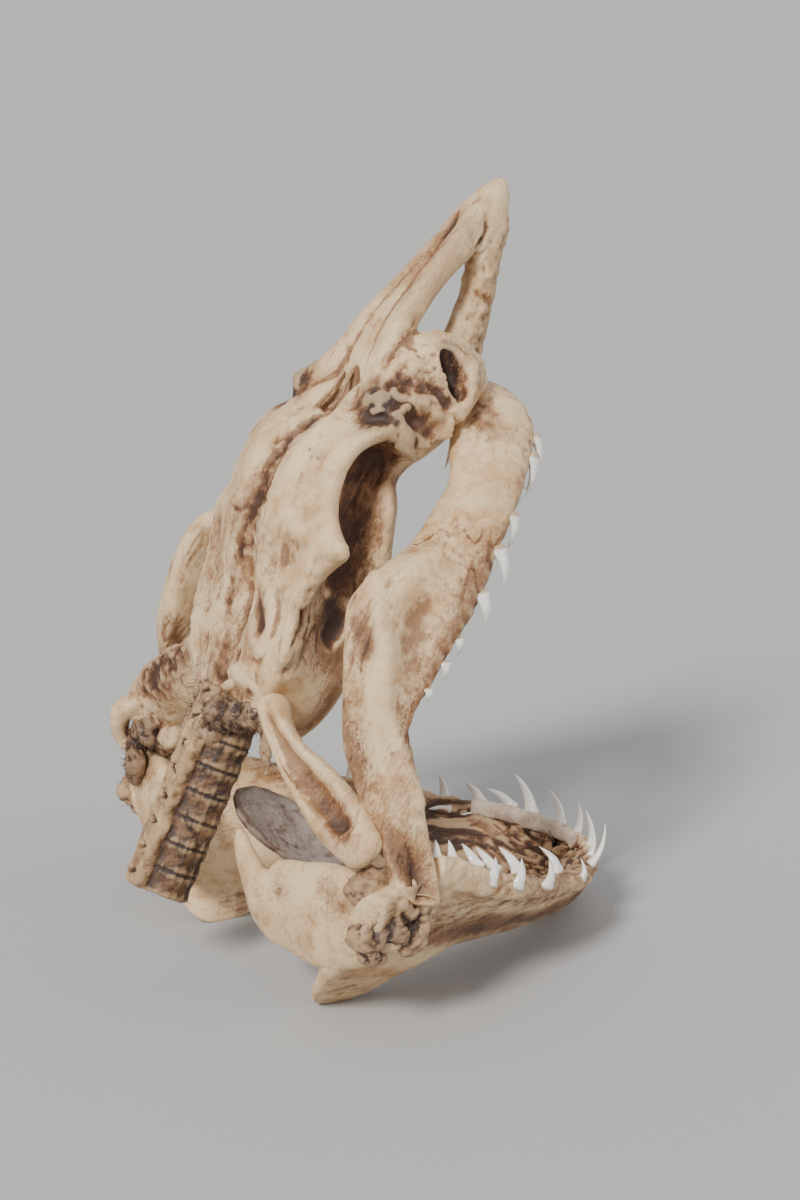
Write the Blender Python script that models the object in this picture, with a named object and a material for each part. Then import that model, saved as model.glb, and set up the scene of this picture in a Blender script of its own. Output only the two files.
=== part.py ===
"""Shortfin mako shark skull with gaping jaws, hyoid arch and a short length of backbone, resting on its lower jaw.

The lower jaw lies level, chin towards +X, and the floor is z = 0. The braincase, snout and upper jaw are
laid out in a skull frame (x forward, y to the animal's left, z up, from the middle of the jaw hinge) and are
then tipped up by the gape. All tables are in millimetres.
"""

import math

import bmesh
import bpy
import numpy as np
from mathutils import Matrix

MM = 0.001
GAPE = math.radians(57.9)      # how far the skull and upper jaw are tipped up from the lower jaw
HINGE_HEIGHT = 84.0            # height of the jaw hinge above the floor
GAP = 0.4                      # clearance kept between pieces that touch

# Colour and roughness of each kind of surface
IVORY = ((0.66, 0.50, 0.34), 0.55)
BROWN = ((0.46, 0.31, 0.20), 0.65)
GREY = ((0.27, 0.22, 0.20), 0.75)
DRIED = ((0.20, 0.13, 0.09), 0.75)

# Braincase cross-sections: x, roof middle, roof swelling, crest half width, crest height, crest thickness,
# waist half width, waist height, base half width, base edge height, base middle height
BRAINCASE = (
    (35, 46, 46, 22, 40, 12, 22, 26, 18, 12, 8),
    (48, 48, 50, 36, 46, 12, 37, 28, 28, 10, 3),
    (68, 52, 57, 49, 53, 10, 43, 32, 38, 11, 1),
    (90, 56, 64, 49, 59, 9, 40, 36, 40, 12, 1),
    (108, 67, 71, 52, 62, 9, 36, 39, 39, 12, 3),
    (120, 76, 77, 58, 61, 9, 28, 42, 37, 12, 5),
    (127, 80, 81, 63, 61, 8, 25, 44, 36, 14, 5),
    (135, 82, 84, 54, 64, 7, 23, 46, 36, 18, 7),
    (146, 83, 87, 48, 69, 7, 21, 48, 37, 24, 9),
    (160, 81, 87, 46, 72, 7, 20, 50, 38, 31, 12),
    (174, 76, 83, 47, 71, 8, 20, 50, 28, 33, 16),
    (182, 73, 79, 49, 67, 10, 24, 49, 30, 32, 17),
    (190, 69, 74, 50, 60, 22, 44, 44, 33, 28, 16),
    (200, 64, 69, 45, 57, 26, 42, 40, 32, 22, 11),
    (212, 59, 61, 34, 55, 26, 30, 37, 24, 13, 5),
    (226, 49, 49, 20, 45, 20, 18, 29, 15, 9, 2),
)

# Snout bars: x, y, z, half width, half depth
SIDE_BAR = (
    (192, 36, 60, 12, 8),
    (206, 26, 62, 9, 8.5),
    (220, 19, 60, 7.5, 8.5),
    (240, 13.5, 57, 6.8, 8),
    (260, 10, 52, 6.4, 7.6),
    (280, 7.6, 47, 6, 7.2),
    (298, 6, 43.5, 5.4, 6.5),
)
MIDDLE_BAR = (
    (218, 0, 12, 12, 10),
    (238, 0, 12.5, 9.5, 12.5),
    (256, 0, 16.5, 8.2, 11),
    (274, 0, 20, 7.6, 9.4),
    (288, 0, 25, 7.8, 9.2),
    (300, 0, 31, 8.6, 10),
)
SNOUT_TIP = (
    (296, 0, 36.5, 10.2, 11.8),
    (310, 0, 36, 9.6, 11.6),
    (322, 0, 36.5, 8, 9.2),
    (331, 0, 37.5, 5.6, 6.2),
    (336, 0, 38.5, 3, 3.2),
)

# Nasal capsule: its middle, its three radii, and the ragged window in its side
NOSE_MIDDLE = (221, 28, 36)
NOSE_RADII = (29, 21, 22)
NOSE_PITCH = math.radians(-35)

# Upper jaw blade from the hinge to the front: tooth edge, upper edge, half thickness at each, ridge, ridge place
UPPER_JAW = (
    ((2, 134, -24), (0, 130, 0), 9, 9, 0, 0),
    ((14, 130, -18), (8, 122, 3), 8, 8, 0, 0),
    ((26, 126, -10), (19, 111, 10), 7, 8, 1, 0),
    ((40, 121, 0), (31, 102, 22), 6, 7, 3, -0.2),
    ((52, 117, 10), (48, 94, 35), 5.5, 6, 4, -0.2),
    ((64, 115, 18), (66, 90, 44), 5, 6, 5, 0),
    ((84, 111, 17), (86, 87, 53), 5, 6, 7, 0.1),
    ((106, 105, 12), (105, 82, 59), 6, 5, 7, 0.45),
    ((130, 98, 6), (124, 79, 52), 7, 5, 5, 0.5),
    ((154, 89, 1), (142, 66, 34), 8, 6, 3, 0.2),
    ((178, 77, -5), (164, 57, 24), 9, 8, 2, 0),
    ((200, 65, -11), (185, 48, 18), 10, 11, 1, 0),
    ((218, 52, -16), (205, 36, 20), 12, 13, 1, 0),
    ((229, 38, -19), (222, 24, 18), 12, 13, 0, 0),
    ((234, 20, -20), (232, 10, 9), 10, 11, 0, 0),
    ((233, 0.4, -20), (234, 0.4, 4), 8.5, 9, 0, 0),
)

# Lower jaw blade from the hinge to the chin, in the level frame of the floor
LOWER_JAW = (
    ((-8, 132, 82), (-14, 114, 50), 8, 8, 0, 0),
    ((10, 130, 85), (-12, 84, 24), 8, 6, 4, -0.2),
    ((28, 125, 80), (-4, 63, 4), 7, 5.5, 5, -0.1),
    ((50, 119, 71), (20, 59, 0), 6.5, 5.5, 5, 0),
    ((76, 112, 61), (48, 56, 13), 6.5, 6, 4, 0),
    ((104, 101, 52), (80, 51, 15), 7, 7, 4, 0),
    ((132, 86, 45), (110, 44, 12), 7.5, 7, 3, 0),
    ((158, 67, 40), (140, 34, 8), 8, 8, 2, 0),
    ((178, 46, 37), (163, 21, 3), 8, 9, 1, 0),
    ((191, 24, 35), (179, 11, 0), 8.5, 9, 0, 0),
    ((195.5, 0.4, 35), (185, 0.4, -1), 8.5, 9, 0, 0),
)

# Bars of the hyoid arch: x, y, z, half width, half depth
HYOMANDIBULA = (
    (46, 44, 42, 14, 9),
    (38, 54, 43, 14, 8),
    (30, 68, 40, 13, 6.5),
    (24, 84, 31, 12, 6),
    (16, 101, 20, 12, 7),
    (8, 115, 11, 14, 9),
)
CERATOHYAL = (
    (4, 124, 66, 9, 14),
    (-3, 112, 63, 11, 21),
    (-8, 96, 60, 10, 25),
    (-12, 78, 56, 9, 25),
    (-14, 60, 54, 8, 23),
    (-17, 46, 52, 7, 19),
    (-19, 38, 54, 5.5, 15),
)
HYOID_HORN = (
    (-18, 42, 48, 7, 10),
    (-20, 35, 62, 6, 9),
    (-23, 30, 76, 4.2, 6),
    (-24, 28, 85, 2.4, 3),
)

LEFT_HYOID_OFFSET = (11, 0, 2)

SPINE_TOP = (-12, 0, 134)
SPINE_END = (-54, 0, 49)
CENTRA = 6
CENTRUM_RADIUS = 12.6
CENTRUM_WAIST = 11.2
ARCH_OFFSET = 14.0
ARCH = (9, 8.2)

# Web of dried tissue between the two side bars of the snout: x, y, z, half width, half depth
SNOUT_WEB = (
    (226, 0, 52, 16, 4),
    (244, 0, 51, 12, 4),
    (262, 0, 48, 9.5, 4),
    (280, 0, 44.5, 7.5, 4.5),
    (298, 0, 41, 6, 5),
)

# Hollows cut into the braincase: middle and radii in the skull frame
FONTANELLE = ((203, 0, 70), (15, 9, 12))
EAR_FOSSA = ((92, 0, 66), (13, 7, 12))
REAR_PIT = ((63, 0, 58), (7, 6, 10))
FORAMEN_MAGNUM = ((33, 0, 36), (13, 9, 8))
NOSTRIL = ((232, 47, 36), (17, 13, 7))
SIDE_HOLLOW = ((98, 44, 31), (15, 8, 7))

# Hyoid plate, and the two knots of dried tissue that bind each jaw hinge: middle and radii in the level frame
HYOID_PLATE = ((17, 0, 67), (38, 21, 3.6))
HYOID_PLATE_TURN = (math.radians(37), math.radians(34), 0)
LIGAMENT = (
    ((2, 120, 62), (19, 20, 20)),
    ((18, 128, 66), (16, 12, 17)),
    ((-4, 108, 82), (11, 15, 10)),
)

ROOT_DEPTH = 4.5               # how far a tooth's root reaches into the jaw

# Teeth of one side, from the front of the mouth to the back: place along the row, height
UPPER_TEETH = (
    (0.03, 19),
    (0.095, 22),
    (0.155, 11),
    (0.225, 17),
    (0.30, 17),
    (0.375, 16),
    (0.45, 14),
    (0.52, 12),
    (0.59, 10),
    (0.655, 8),
    (0.715, 6.5),
)
LOWER_TEETH = (
    (0.035, 18),
    (0.10, 23),
    (0.17, 18),
    (0.24, 16),
    (0.31, 15),
    (0.38, 14),
    (0.45, 12),
    (0.515, 10),
    (0.58, 8.5),
    (0.64, 7),
    (0.70, 6),
)


def in_skull(point):
    """A point of the skull frame, tipped up by the gape about the jaw hinge."""
    x, y, z = point
    return (
        x * math.cos(GAPE) - z * math.sin(GAPE),
        y,
        x * math.sin(GAPE) + z * math.cos(GAPE) + HINGE_HEIGHT,
    )


def smooth_rows(rows, count):
    """Rows of numbers read at even steps from a smooth curve through the rows given."""
    rows = np.array(rows, float)
    steps = np.linalg.norm(np.diff(rows[:, :3], axis=0), axis=1)
    at = np.concatenate([[0], np.cumsum(steps)])
    slopes = np.gradient(rows, at, axis=0)
    where = np.linspace(0, at[-1], count)
    index = np.clip(np.searchsorted(at, where, side="right") - 1, 0, len(at) - 2)
    span = (at[index + 1] - at[index])[:, None]
    t = (where - at[index])[:, None] / span
    first, last = rows[index], rows[index + 1]
    return (
        first * (1 + 2 * t) * (1 - t) ** 2
        + last * t * t * (3 - 2 * t)
        + slopes[index] * span * t * (1 - t) ** 2
        - slopes[index + 1] * span * t * t * (1 - t)
    )


def unit(vector):
    return vector / max(np.linalg.norm(vector), 1e-9)


def mesh_object(name, points, faces):
    """A closed mesh object from points in millimetres, its faces turned outwards."""
    mesh = bpy.data.meshes.new(name)
    mesh.from_pydata([tuple(MM * np.asarray(p)) for p in points], [], faces)
    work = bmesh.new()
    work.from_mesh(mesh)
    bmesh.ops.triangulate(work, faces=work.faces)
    bmesh.ops.recalc_face_normals(work, faces=work.faces)
    work.to_mesh(mesh)
    work.free()
    obj = bpy.data.objects.new(name, mesh)
    bpy.context.scene.collection.objects.link(obj)
    return obj


def skin_rings(name, rings, bulge=0.35, end_bulge=None):
    """A closed tube over rings of points, with a shallow dome on each end."""
    domes = (bulge, bulge if end_bulge is None else end_bulge)
    rings = [np.asarray(ring) for ring in rings]
    sides = len(rings[0])
    points = [p for ring in rings for p in ring]
    faces = []
    for row in range(len(rings) - 1):
        for side in range(sides):
            after = (side + 1) % sides
            a, b = row * sides, (row + 1) * sides
            faces.append((a + side, a + after, b + after, b + side))
    for (end, inner), dome in zip(((0, 1), (-1, -2)), domes):
        middle, before = rings[end].mean(0), rings[inner].mean(0)
        reach = np.linalg.norm(rings[end] - middle, axis=1).min()
        points.append(middle + unit(middle - before) * reach * dome)
        start = 0 if end == 0 else (len(rings) - 1) * sides
        for side in range(sides):
            faces.append((start + side, start + (side + 1) % sides, len(points) - 1))
    return mesh_object(name, points, faces)


def bar(name, stations, rows, sides, frame=in_skull, across=(0, 1, 0), side=1):
    """A bar with oval sections: half width lies along the across direction, half depth square to it."""
    rings = []
    table = smooth_rows(stations, rows)
    centres = table[:, :3]
    for row, values in enumerate(table):
        ahead = centres[min(row + 1, rows - 1)] - centres[max(row - 1, 0)]
        wide = unit(np.asarray(across) - unit(ahead) * np.dot(across, unit(ahead)))
        deep = unit(np.cross(ahead, wide))
        ring = []
        for turn in np.linspace(0, 2 * math.pi, sides, endpoint=False):
            offset = wide * values[3] * math.cos(turn) + deep * values[4] * math.sin(turn)
            point = values[:3] + offset
            ring.append(frame((point[0], side * point[1], point[2])))
        rings.append(ring)
    return skin_rings(name, rings)


def blade_rings(stations, rows, sides, side, frame):
    """Rings of a jaw blade between its tooth edge and its far edge, bowed outwards along a ridge."""
    table = smooth_rows([(*a, *b, *rest) for a, b, *rest in stations], rows)
    rings = []
    for row, values in enumerate(table):
        tooth_edge, far_edge = values[:3], values[3:6]
        thick_tooth, thick_far, ridge, ridge_place = values[6:10]
        here, there = table[max(row - 1, 0), :6], table[min(row + 1, rows - 1), :6]
        ahead = unit((there[:3] + there[3:] - here[:3] - here[3:]) / 2)
        height = far_edge - tooth_edge
        outward = unit(np.cross(ahead, height))
        if outward[1] < 0 and abs(outward[1]) > abs(outward[0]) or outward[0] < -0.5:
            outward = -outward
        middle = (tooth_edge + far_edge) / 2
        ring = []
        for turn in np.linspace(0, 2 * math.pi, sides, endpoint=False):
            along = -math.cos(turn)
            thick = thick_tooth + (thick_far - thick_tooth) * (along + 1) / 2
            swell = ridge * math.exp(-(((along - ridge_place) / 0.45) ** 2))
            out = thick * math.copysign(abs(math.sin(turn)) ** 0.8, math.sin(turn)) + swell
            point = middle + height * along / 2 + outward * out
            ring.append(frame((point[0], side * max(point[1], GAP / 2), point[2])))
        rings.append(ring)
    return rings


def braincase_ring(values, half_sides):
    """One closed section of the braincase: domed roof, overhanging crest, narrow waist, flat base."""
    x, roof, swelling, crest, crest_z, thick, waist, waist_z, base, base_z, base_mid = values
    half = [
        (0, roof),
        (0.30 * crest, swelling),
        (0.68 * crest, 0.6 * swelling + 0.4 * crest_z),
        (crest, crest_z + 0.5),
        (0.98 * crest, crest_z - 0.55 * thick),
        (0.45 * crest + 0.55 * waist, crest_z - thick),
        (waist, waist_z),
        (0.5 * waist + 0.5 * base, 0.6 * base_z + 0.4 * waist_z),
        (base, base_z + 2),
        (0.92 * base, base_z - 3),
        (0.5 * base, 0.5 * (base_z - 3) + 0.5 * base_mid),
        (0, base_mid),
    ]
    half = np.array(half, float)
    at = np.linspace(0, len(half) - 1, half_sides)
    y = np.interp(at, range(len(half)), half[:, 0])
    z = np.interp(at, range(len(half)), half[:, 1])
    left = [(x, y[k], z[k]) for k in range(half_sides)]
    right = [(x, -y[k], z[k]) for k in range(half_sides - 2, 0, -1)]
    return [in_skull(p) for p in left + right]


def ellipsoid(name, middle, radii, turn=(0, 0, 0), frame=in_skull, rings=10, sides=16):
    """A closed ellipsoid, turned about x, then y, then z in its own frame."""
    ax, ay, az = turn
    rx = np.array([[1, 0, 0], [0, math.cos(ax), -math.sin(ax)], [0, math.sin(ax), math.cos(ax)]])
    ry = np.array([[math.cos(ay), 0, math.sin(ay)], [0, 1, 0], [-math.sin(ay), 0, math.cos(ay)]])
    rz = np.array([[math.cos(az), -math.sin(az), 0], [math.sin(az), math.cos(az), 0], [0, 0, 1]])
    whole = rz @ ry @ rx
    sections = []
    for tilt in np.linspace(-math.pi / 2, math.pi / 2, rings + 2)[1:-1]:
        ring = []
        for around in np.linspace(0, 2 * math.pi, sides, endpoint=False):
            local = np.array([
                radii[0] * math.sin(tilt),
                radii[1] * math.cos(tilt) * math.cos(around),
                radii[2] * math.cos(tilt) * math.sin(around),
            ])
            ring.append(frame(tuple(np.asarray(middle) + whole @ local)))
        sections.append(ring)
    return skin_rings(name, sections, bulge=0.3)


def apply_boolean(obj, operation, others, solver="MANIFOLD"):
    """Joins or cuts obj with the others, and removes them."""
    group = bpy.data.collections.new("operands")
    for other in others:
        group.objects.link(other)
    modifier = obj.modifiers.new("boolean", "BOOLEAN")
    modifier.operation = operation
    modifier.operand_type = "COLLECTION"
    modifier.collection = group
    modifier.solver = solver
    graph = bpy.context.evaluated_depsgraph_get()
    made = bpy.data.meshes.new_from_object(obj.evaluated_get(graph))
    obj.modifiers.clear()
    obj.data = made
    for other in others:
        bpy.data.objects.remove(other)
    bpy.data.collections.remove(group)
    keep_largest(obj)
    return obj


def keep_largest(obj):
    """Keeps only the largest closed surface of a mesh, and drops loose scraps."""
    work = bmesh.new()
    work.from_mesh(obj.data)
    unseen = set(work.verts)
    groups = []
    while unseen:
        stack, group = [unseen.pop()], []
        while stack:
            vertex = stack.pop()
            group.append(vertex)
            for edge in vertex.link_edges:
                other = edge.other_vert(vertex)
                if other in unseen:
                    unseen.remove(other)
                    stack.append(other)
        groups.append(group)
    groups.sort(key=len)
    for group in groups[:-1]:
        bmesh.ops.delete(work, geom=group, context="VERTS")
    work.to_mesh(obj.data)
    work.free()


def swollen_mesh(obj, gap=GAP):
    """The mesh of obj grown outwards by the gap, kept to cut a clearance into its neighbours."""
    mesh = obj.data.copy()
    normals = [vertex.normal.copy() for vertex in mesh.vertices]
    for vertex, normal in zip(mesh.vertices, normals):
        vertex.co += normal * gap * MM
    return mesh


def cut_clear(obj, *swollen):
    """Cuts obj back from the swollen meshes of its neighbours, so that they meet with a fine gap."""
    for mesh in swollen:
        cutter = bpy.data.objects.new("cutter", mesh)
        bpy.context.scene.collection.objects.link(cutter)
        apply_boolean(obj, "DIFFERENCE", [cutter])
    return obj


def tooth(name, root, up, back, along, height, width, sides=6):
    """One tooth: an oval, backward-curving spike whose root is sunk below the root point."""
    root, up, back, along = (np.asarray(v, float) for v in (root, up, back, along))
    sunk = -ROOT_DEPTH / height
    levels = ((sunk, 0.5, 0), (0.0, 0.60, 0), (0.28, 0.36, 0.02), (0.62, 0.22, 0.10), (0.88, 0.10, 0.22))
    rings = []
    for level, half, lean in levels:
        middle = root + up * height * level + back * height * lean
        ring = []
        for turn in np.linspace(0, 2 * math.pi, sides, endpoint=False):
            wide = along * width * half * math.cos(turn)
            deep = back * width * max(half * 0.62, 0.1) * math.sin(turn)
            ring.append(tuple(middle + wide + deep))
        rings.append(ring)
    return skin_rings(name, rings, bulge=1.6)


def add_material(obj, name, surface):
    """Gives obj a material of its own with the colour and roughness of a kind of surface."""
    colour, roughness = surface
    material = bpy.data.materials.new(name)
    material.use_nodes = True
    shader = material.node_tree.nodes["Principled BSDF"]
    shader.inputs["Base Color"].default_value = (*colour, 1)
    shader.inputs["Roughness"].default_value = roughness
    shader.inputs["Metallic"].default_value = 0
    obj.data.materials.clear()
    obj.data.materials.append(material)
    obj.data.shade_smooth()


def mirrored(middle, side):
    x, y, z = middle
    return (x, side * y, z)


def make_chondrocranium():
    """Braincase, nasal capsules and the three-barred snout, which are one cartilage."""
    rings = [braincase_ring(values, 15) for values in smooth_rows(BRAINCASE, 34)]
    skull = skin_rings("chondrocranium", rings, bulge=0.1)
    parts = [
        bar("middle", MIDDLE_BAR, 10, 12),
        bar("tip", SNOUT_TIP, 8, 12),
        bar("web", SNOUT_WEB, 8, 12),
    ]
    for side in (1, -1):
        parts.append(bar("side", SIDE_BAR, 12, 12, side=side))
        parts.append(ellipsoid("nose", mirrored(NOSE_MIDDLE, side), NOSE_RADII, (0, NOSE_PITCH, 0)))
    apply_boolean(skull, "UNION", parts)
    hollows = [ellipsoid("hollow", *shape, rings=6, sides=12) for shape in (FONTANELLE, EAR_FOSSA, REAR_PIT)]
    hollows.append(ellipsoid("hollow", *FORAMEN_MAGNUM, rings=6, sides=12))
    for side in (1, -1):
        turn = (0, NOSE_PITCH, side * math.radians(-12))
        hollows.append(ellipsoid("hollow", mirrored(NOSTRIL[0], side), NOSTRIL[1], turn, rings=6, sides=12))
        hollows.append(ellipsoid("hollow", mirrored(SIDE_HOLLOW[0], side), SIDE_HOLLOW[1], rings=6, sides=12))
    apply_boolean(skull, "DIFFERENCE", hollows)
    return skull


def margin_point(stations, fraction):
    """The middle of the tooth edge at a fraction of the way from the front of the mouth to the hinge."""
    table = smooth_rows([(*a, *b, *rest) for a, b, *rest in stations], 81)
    place = (1 - fraction) * 80
    low = min(int(place), 79)
    here = table[low] + (table[low + 1] - table[low]) * (place - low)
    ahead = unit(table[low + 1][:3] - table[low][:3])
    inward = unit(here[3:6] - here[:3])
    return here[:3], ahead, inward, here[6]


def add_teeth(jaw, stations, teeth, side, frame, lean):
    """Sinks a row of teeth into the tooth edge of a jaw and joins them to it."""
    spikes = []
    for number, (fraction, height) in enumerate(teeth):
        root, ahead, inward, thick = margin_point(stations, fraction)
        up, back = lean(fraction, number)
        width = 0.46 * height * (1 if height > 12 else 1.15)
        points = [np.array(frame(tuple(root * (1, side, 1))))]
        zero = np.array(frame((0, 0, 0)))
        up, back, ahead = (np.array(frame(tuple(v * np.array((1, side, 1))))) - zero for v in (up, back, ahead))
        root = points[0] + up * 0.7
        spikes.append(tooth("tooth", root, up, back, ahead, height, width))
    return apply_boolean(jaw, "UNION", spikes)


def upper_lean(fraction, number):
    """Upper teeth hang down and lean back to the throat."""
    wobble = 0.08 * math.sin(2.3 * number)
    up = unit(np.array((-0.85 + wobble, 0.0, -0.62)))
    return up, np.array((-0.35, 0, 0.35))


def lower_lean(fraction, number):
    """The front lower teeth splay forwards, and those further back stand up."""
    splay = 0.55 * math.exp(-((fraction / 0.16) ** 2)) - 0.12 + 0.06 * math.sin(1.9 * number)
    up = unit(np.array((splay, 0.0, 1.0)))
    return up, np.array((-0.5, 0, 0.1))


def make_jaws(side):
    upper = skin_rings("upper_jaw", blade_rings(UPPER_JAW, 26, 12, side, in_skull), end_bulge=0)
    lower = skin_rings("lower_jaw", blade_rings(LOWER_JAW, 22, 12, side, tuple), end_bulge=0)
    return upper, lower


def make_backbone():
    """A run of spool-shaped centra with the strip of neural arches along its back."""
    top, end = np.array(SPINE_TOP, float), np.array(SPINE_END, float)
    axis = unit(end - top)
    back = np.array((axis[2], 0, -axis[0]))
    rings = []
    for step in range(2 * CENTRA + 1):
        radius = CENTRUM_RADIUS if step % 2 == 0 else CENTRUM_WAIST
        middle = top + (end - top) * step / (2 * CENTRA)
        ring = []
        for turn in np.linspace(0, 2 * math.pi, 18, endpoint=False):
            ring.append(middle + radius * (np.array((0, 1, 0)) * math.cos(turn) + back * math.sin(turn)))
        rings.append(ring)
    column = skin_rings("vertebral_column", rings, bulge=-0.15)
    stations = []
    for t in np.linspace(-0.12, 0.975, 7):
        middle = top + (end - top) * t + back * ARCH_OFFSET
        stations.append((*middle, *ARCH))
    return apply_boolean(column, "UNION", [bar("arch", stations, 12, 12, frame=tuple)])


def make_ligament(side):
    lumps = [ellipsoid("lump", mirrored(middle, side), radii, frame=tuple) for middle, radii in LIGAMENT]
    return apply_boolean(lumps.pop(0), "UNION", lumps)


def make_ceratohyal(side):
    body = bar("ceratohyal", CERATOHYAL, 14, 14, frame=tuple, across=(1, 0, 0), side=side)
    horn = bar("horn", HYOID_HORN, 8, 10, frame=tuple, across=(1, 0, 0), side=side)
    return apply_boolean(body, "UNION", [horn])


def shifted(stations, offset):
    """The same stations moved by an offset."""
    return [(*(np.array(row[:3]) + offset), *row[3:]) for row in stations]


def cut_flat(obj):
    """Trims whatever reaches below the floor, which leaves small flats to rest on."""
    mesh = bpy.data.meshes.new("below")
    work = bmesh.new()
    bmesh.ops.create_cube(work, size=1.0)
    work.to_mesh(mesh)
    work.free()
    block = bpy.data.objects.new("below", mesh)
    bpy.context.scene.collection.objects.link(block)
    block.location = (0.05, 0, -0.5)
    bpy.context.view_layer.update()
    return apply_boolean(obj, "DIFFERENCE", [block])


def centre_over_origin(objects):
    """Moves everything so that the middle of the footprint is at the origin, on the floor."""
    points = np.array([tuple(vertex.co) for obj in objects for vertex in obj.data.vertices])
    low, high = points.min(0), points.max(0)
    offset = Matrix.Translation((-(low[0] + high[0]) / 2, -(low[1] + high[1]) / 2, -low[2]))
    for obj in objects:
        obj.data.transform(offset)


def main():
    for old in list(bpy.data.objects):
        bpy.data.objects.remove(old)
    skull = make_chondrocranium()
    column = make_backbone()
    plate = ellipsoid("basihyal", *HYOID_PLATE, HYOID_PLATE_TURN, frame=tuple)
    skull_skin, plate_skin, column_skin = (swollen_mesh(obj) for obj in (skull, plate, column))
    cut_clear(column, skull_skin)
    made = {"chondrocranium": (skull, IVORY), "vertebral_column": (column, BROWN), "basihyal": (plate, GREY)}
    for side, word in ((1, "left"), (-1, "right")):
        upper, lower = make_jaws(side)
        offset = LEFT_HYOID_OFFSET if side > 0 else (0, 0, 0)
        stations = shifted(HYOMANDIBULA, offset)
        strut = bar("hyomandibula", stations, 14, 12, across=(1, 0, 0), side=side)
        hyoid = make_ceratohyal(side)
        knot = make_ligament(side)
        upper_skin, lower_skin, strut_skin, hyoid_skin = (
            swollen_mesh(obj) for obj in (upper, lower, strut, hyoid)
        )
        cut_clear(upper, skull_skin)
        cut_flat(lower)
        cut_clear(lower, upper_skin)
        cut_clear(strut, skull_skin, upper_skin)
        cut_clear(hyoid, lower_skin, upper_skin, strut_skin, plate_skin, column_skin)
        cut_clear(knot, upper_skin, lower_skin, strut_skin, hyoid_skin)
        add_teeth(upper, UPPER_JAW, UPPER_TEETH, side, in_skull, upper_lean)
        add_teeth(lower, LOWER_JAW, LOWER_TEETH, side, tuple, lower_lean)
        made["palatoquadrate_" + word] = (upper, IVORY)
        made["meckels_cartilage_" + word] = (lower, IVORY)
        made["hyomandibula_" + word] = (strut, IVORY)
        made["ceratohyal_" + word] = (hyoid, IVORY)
        made["hinge_ligament_" + word] = (knot, DRIED)
    for name, (obj, surface) in made.items():
        obj.name = name
        add_material(obj, name, surface)
    centre_over_origin([obj for obj, _ in made.values()])


main()
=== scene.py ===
"""A shortfin mako skull in dried cartilage, with jaws, hyoid arch, teeth and a length of backbone.

Tables are in millimetres. Skull tables are x forward, y to the animal's left, z up, from the middle of the
jaw hinge, and are tipped up by the gape. Level tables stand on the floor, with the chin towards +X.
"""

import math

import bmesh
import bpy
import numpy as np
from mathutils import Euler, Matrix, Vector


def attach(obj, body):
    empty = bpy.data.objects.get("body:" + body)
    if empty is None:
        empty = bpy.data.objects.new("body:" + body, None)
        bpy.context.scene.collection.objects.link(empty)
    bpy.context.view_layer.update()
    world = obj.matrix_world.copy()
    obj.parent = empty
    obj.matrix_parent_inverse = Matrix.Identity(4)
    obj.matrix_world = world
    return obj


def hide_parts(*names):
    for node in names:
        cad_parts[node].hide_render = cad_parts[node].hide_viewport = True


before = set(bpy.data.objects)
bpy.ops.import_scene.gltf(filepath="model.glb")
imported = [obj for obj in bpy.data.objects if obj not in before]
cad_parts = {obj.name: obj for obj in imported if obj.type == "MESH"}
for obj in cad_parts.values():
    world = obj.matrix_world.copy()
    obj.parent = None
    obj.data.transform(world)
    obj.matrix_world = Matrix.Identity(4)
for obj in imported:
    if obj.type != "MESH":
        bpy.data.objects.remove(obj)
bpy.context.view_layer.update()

MM = 0.001
GAPE = math.radians(57.9)
HINGE_HEIGHT = 84.0
MIDDLE_X = 63.6                # the level frame's x that lies over the origin
FINE = 1.1                     # size of the skin cells of the fused pieces

# The camera: angles, then metres, then the picture's height and the lens in mm, and its right and up
CAMERA_TURN = math.radians(32)
CAMERA_TILT = math.radians(13.7)
CAMERA_DISTANCE = 1.0764
CAMERA_AIM = (0.0252, 0.006, 0.1776)
SENSOR_HEIGHT = 36
LENS = 2093 / 1200 * SENSOR_HEIGHT
CAMERA_RIGHT = np.array((0.848, -0.530, 0.0))
CAMERA_UP = np.array((0.126, 0.201, 0.972))

FLOOR_REACH = 60.0             # metres
FLOOR_TONE = 0.46
SURROUND_TONE = (0.90, 0.90, 0.91, 1)
SURROUND_STRENGTH = 0.72

# Soft lights: name, where they come from, strength, softness in degrees, colour
SUNS = (
    ("left_softbox", (-0.90, -0.55, 0.80), 3.6, 12, (1, 0.97, 0.93)),
    ("right_softbox", (0.75, -0.9, 0.45), 0.6, 30, (1, 0.98, 0.96)),
)

# Each dried material: name, its clean, warm, amber and shade colours, how its fibres run, and its gloss
MATERIALS = (
    ("ivory_cartilage", (0.79, 0.585, 0.345), (0.51, 0.285, 0.12), (0.20, 0.080, 0.028),
     (0.048, 0.018, 0.009)),
    ("brown_backbone", (0.60, 0.42, 0.23), (0.38, 0.235, 0.11), (0.16, 0.075, 0.032),
     (0.04, 0.018, 0.010)),
    ("grey_plate", (0.40, 0.335, 0.29), (0.25, 0.19, 0.16), (0.15, 0.08, 0.045), (0.035, 0.018, 0.013)),
    ("dried_tissue", (0.46, 0.30, 0.17), (0.24, 0.125, 0.06), (0.085, 0.038, 0.019),
     (0.022, 0.011, 0.008), (0.5, 1.2, 1.2), 0.36),
    ("pale_tissue", (0.74, 0.62, 0.50), (0.52, 0.38, 0.29), (0.28, 0.16, 0.10), (0.09, 0.05, 0.034)),
)
NEARLY_BLACK = (0.030, 0.016, 0.012)
TOOTH_ROOT = (0.50, 0.36, 0.22)
TOOTH_CROWN = (0.84, 0.81, 0.76)

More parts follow.
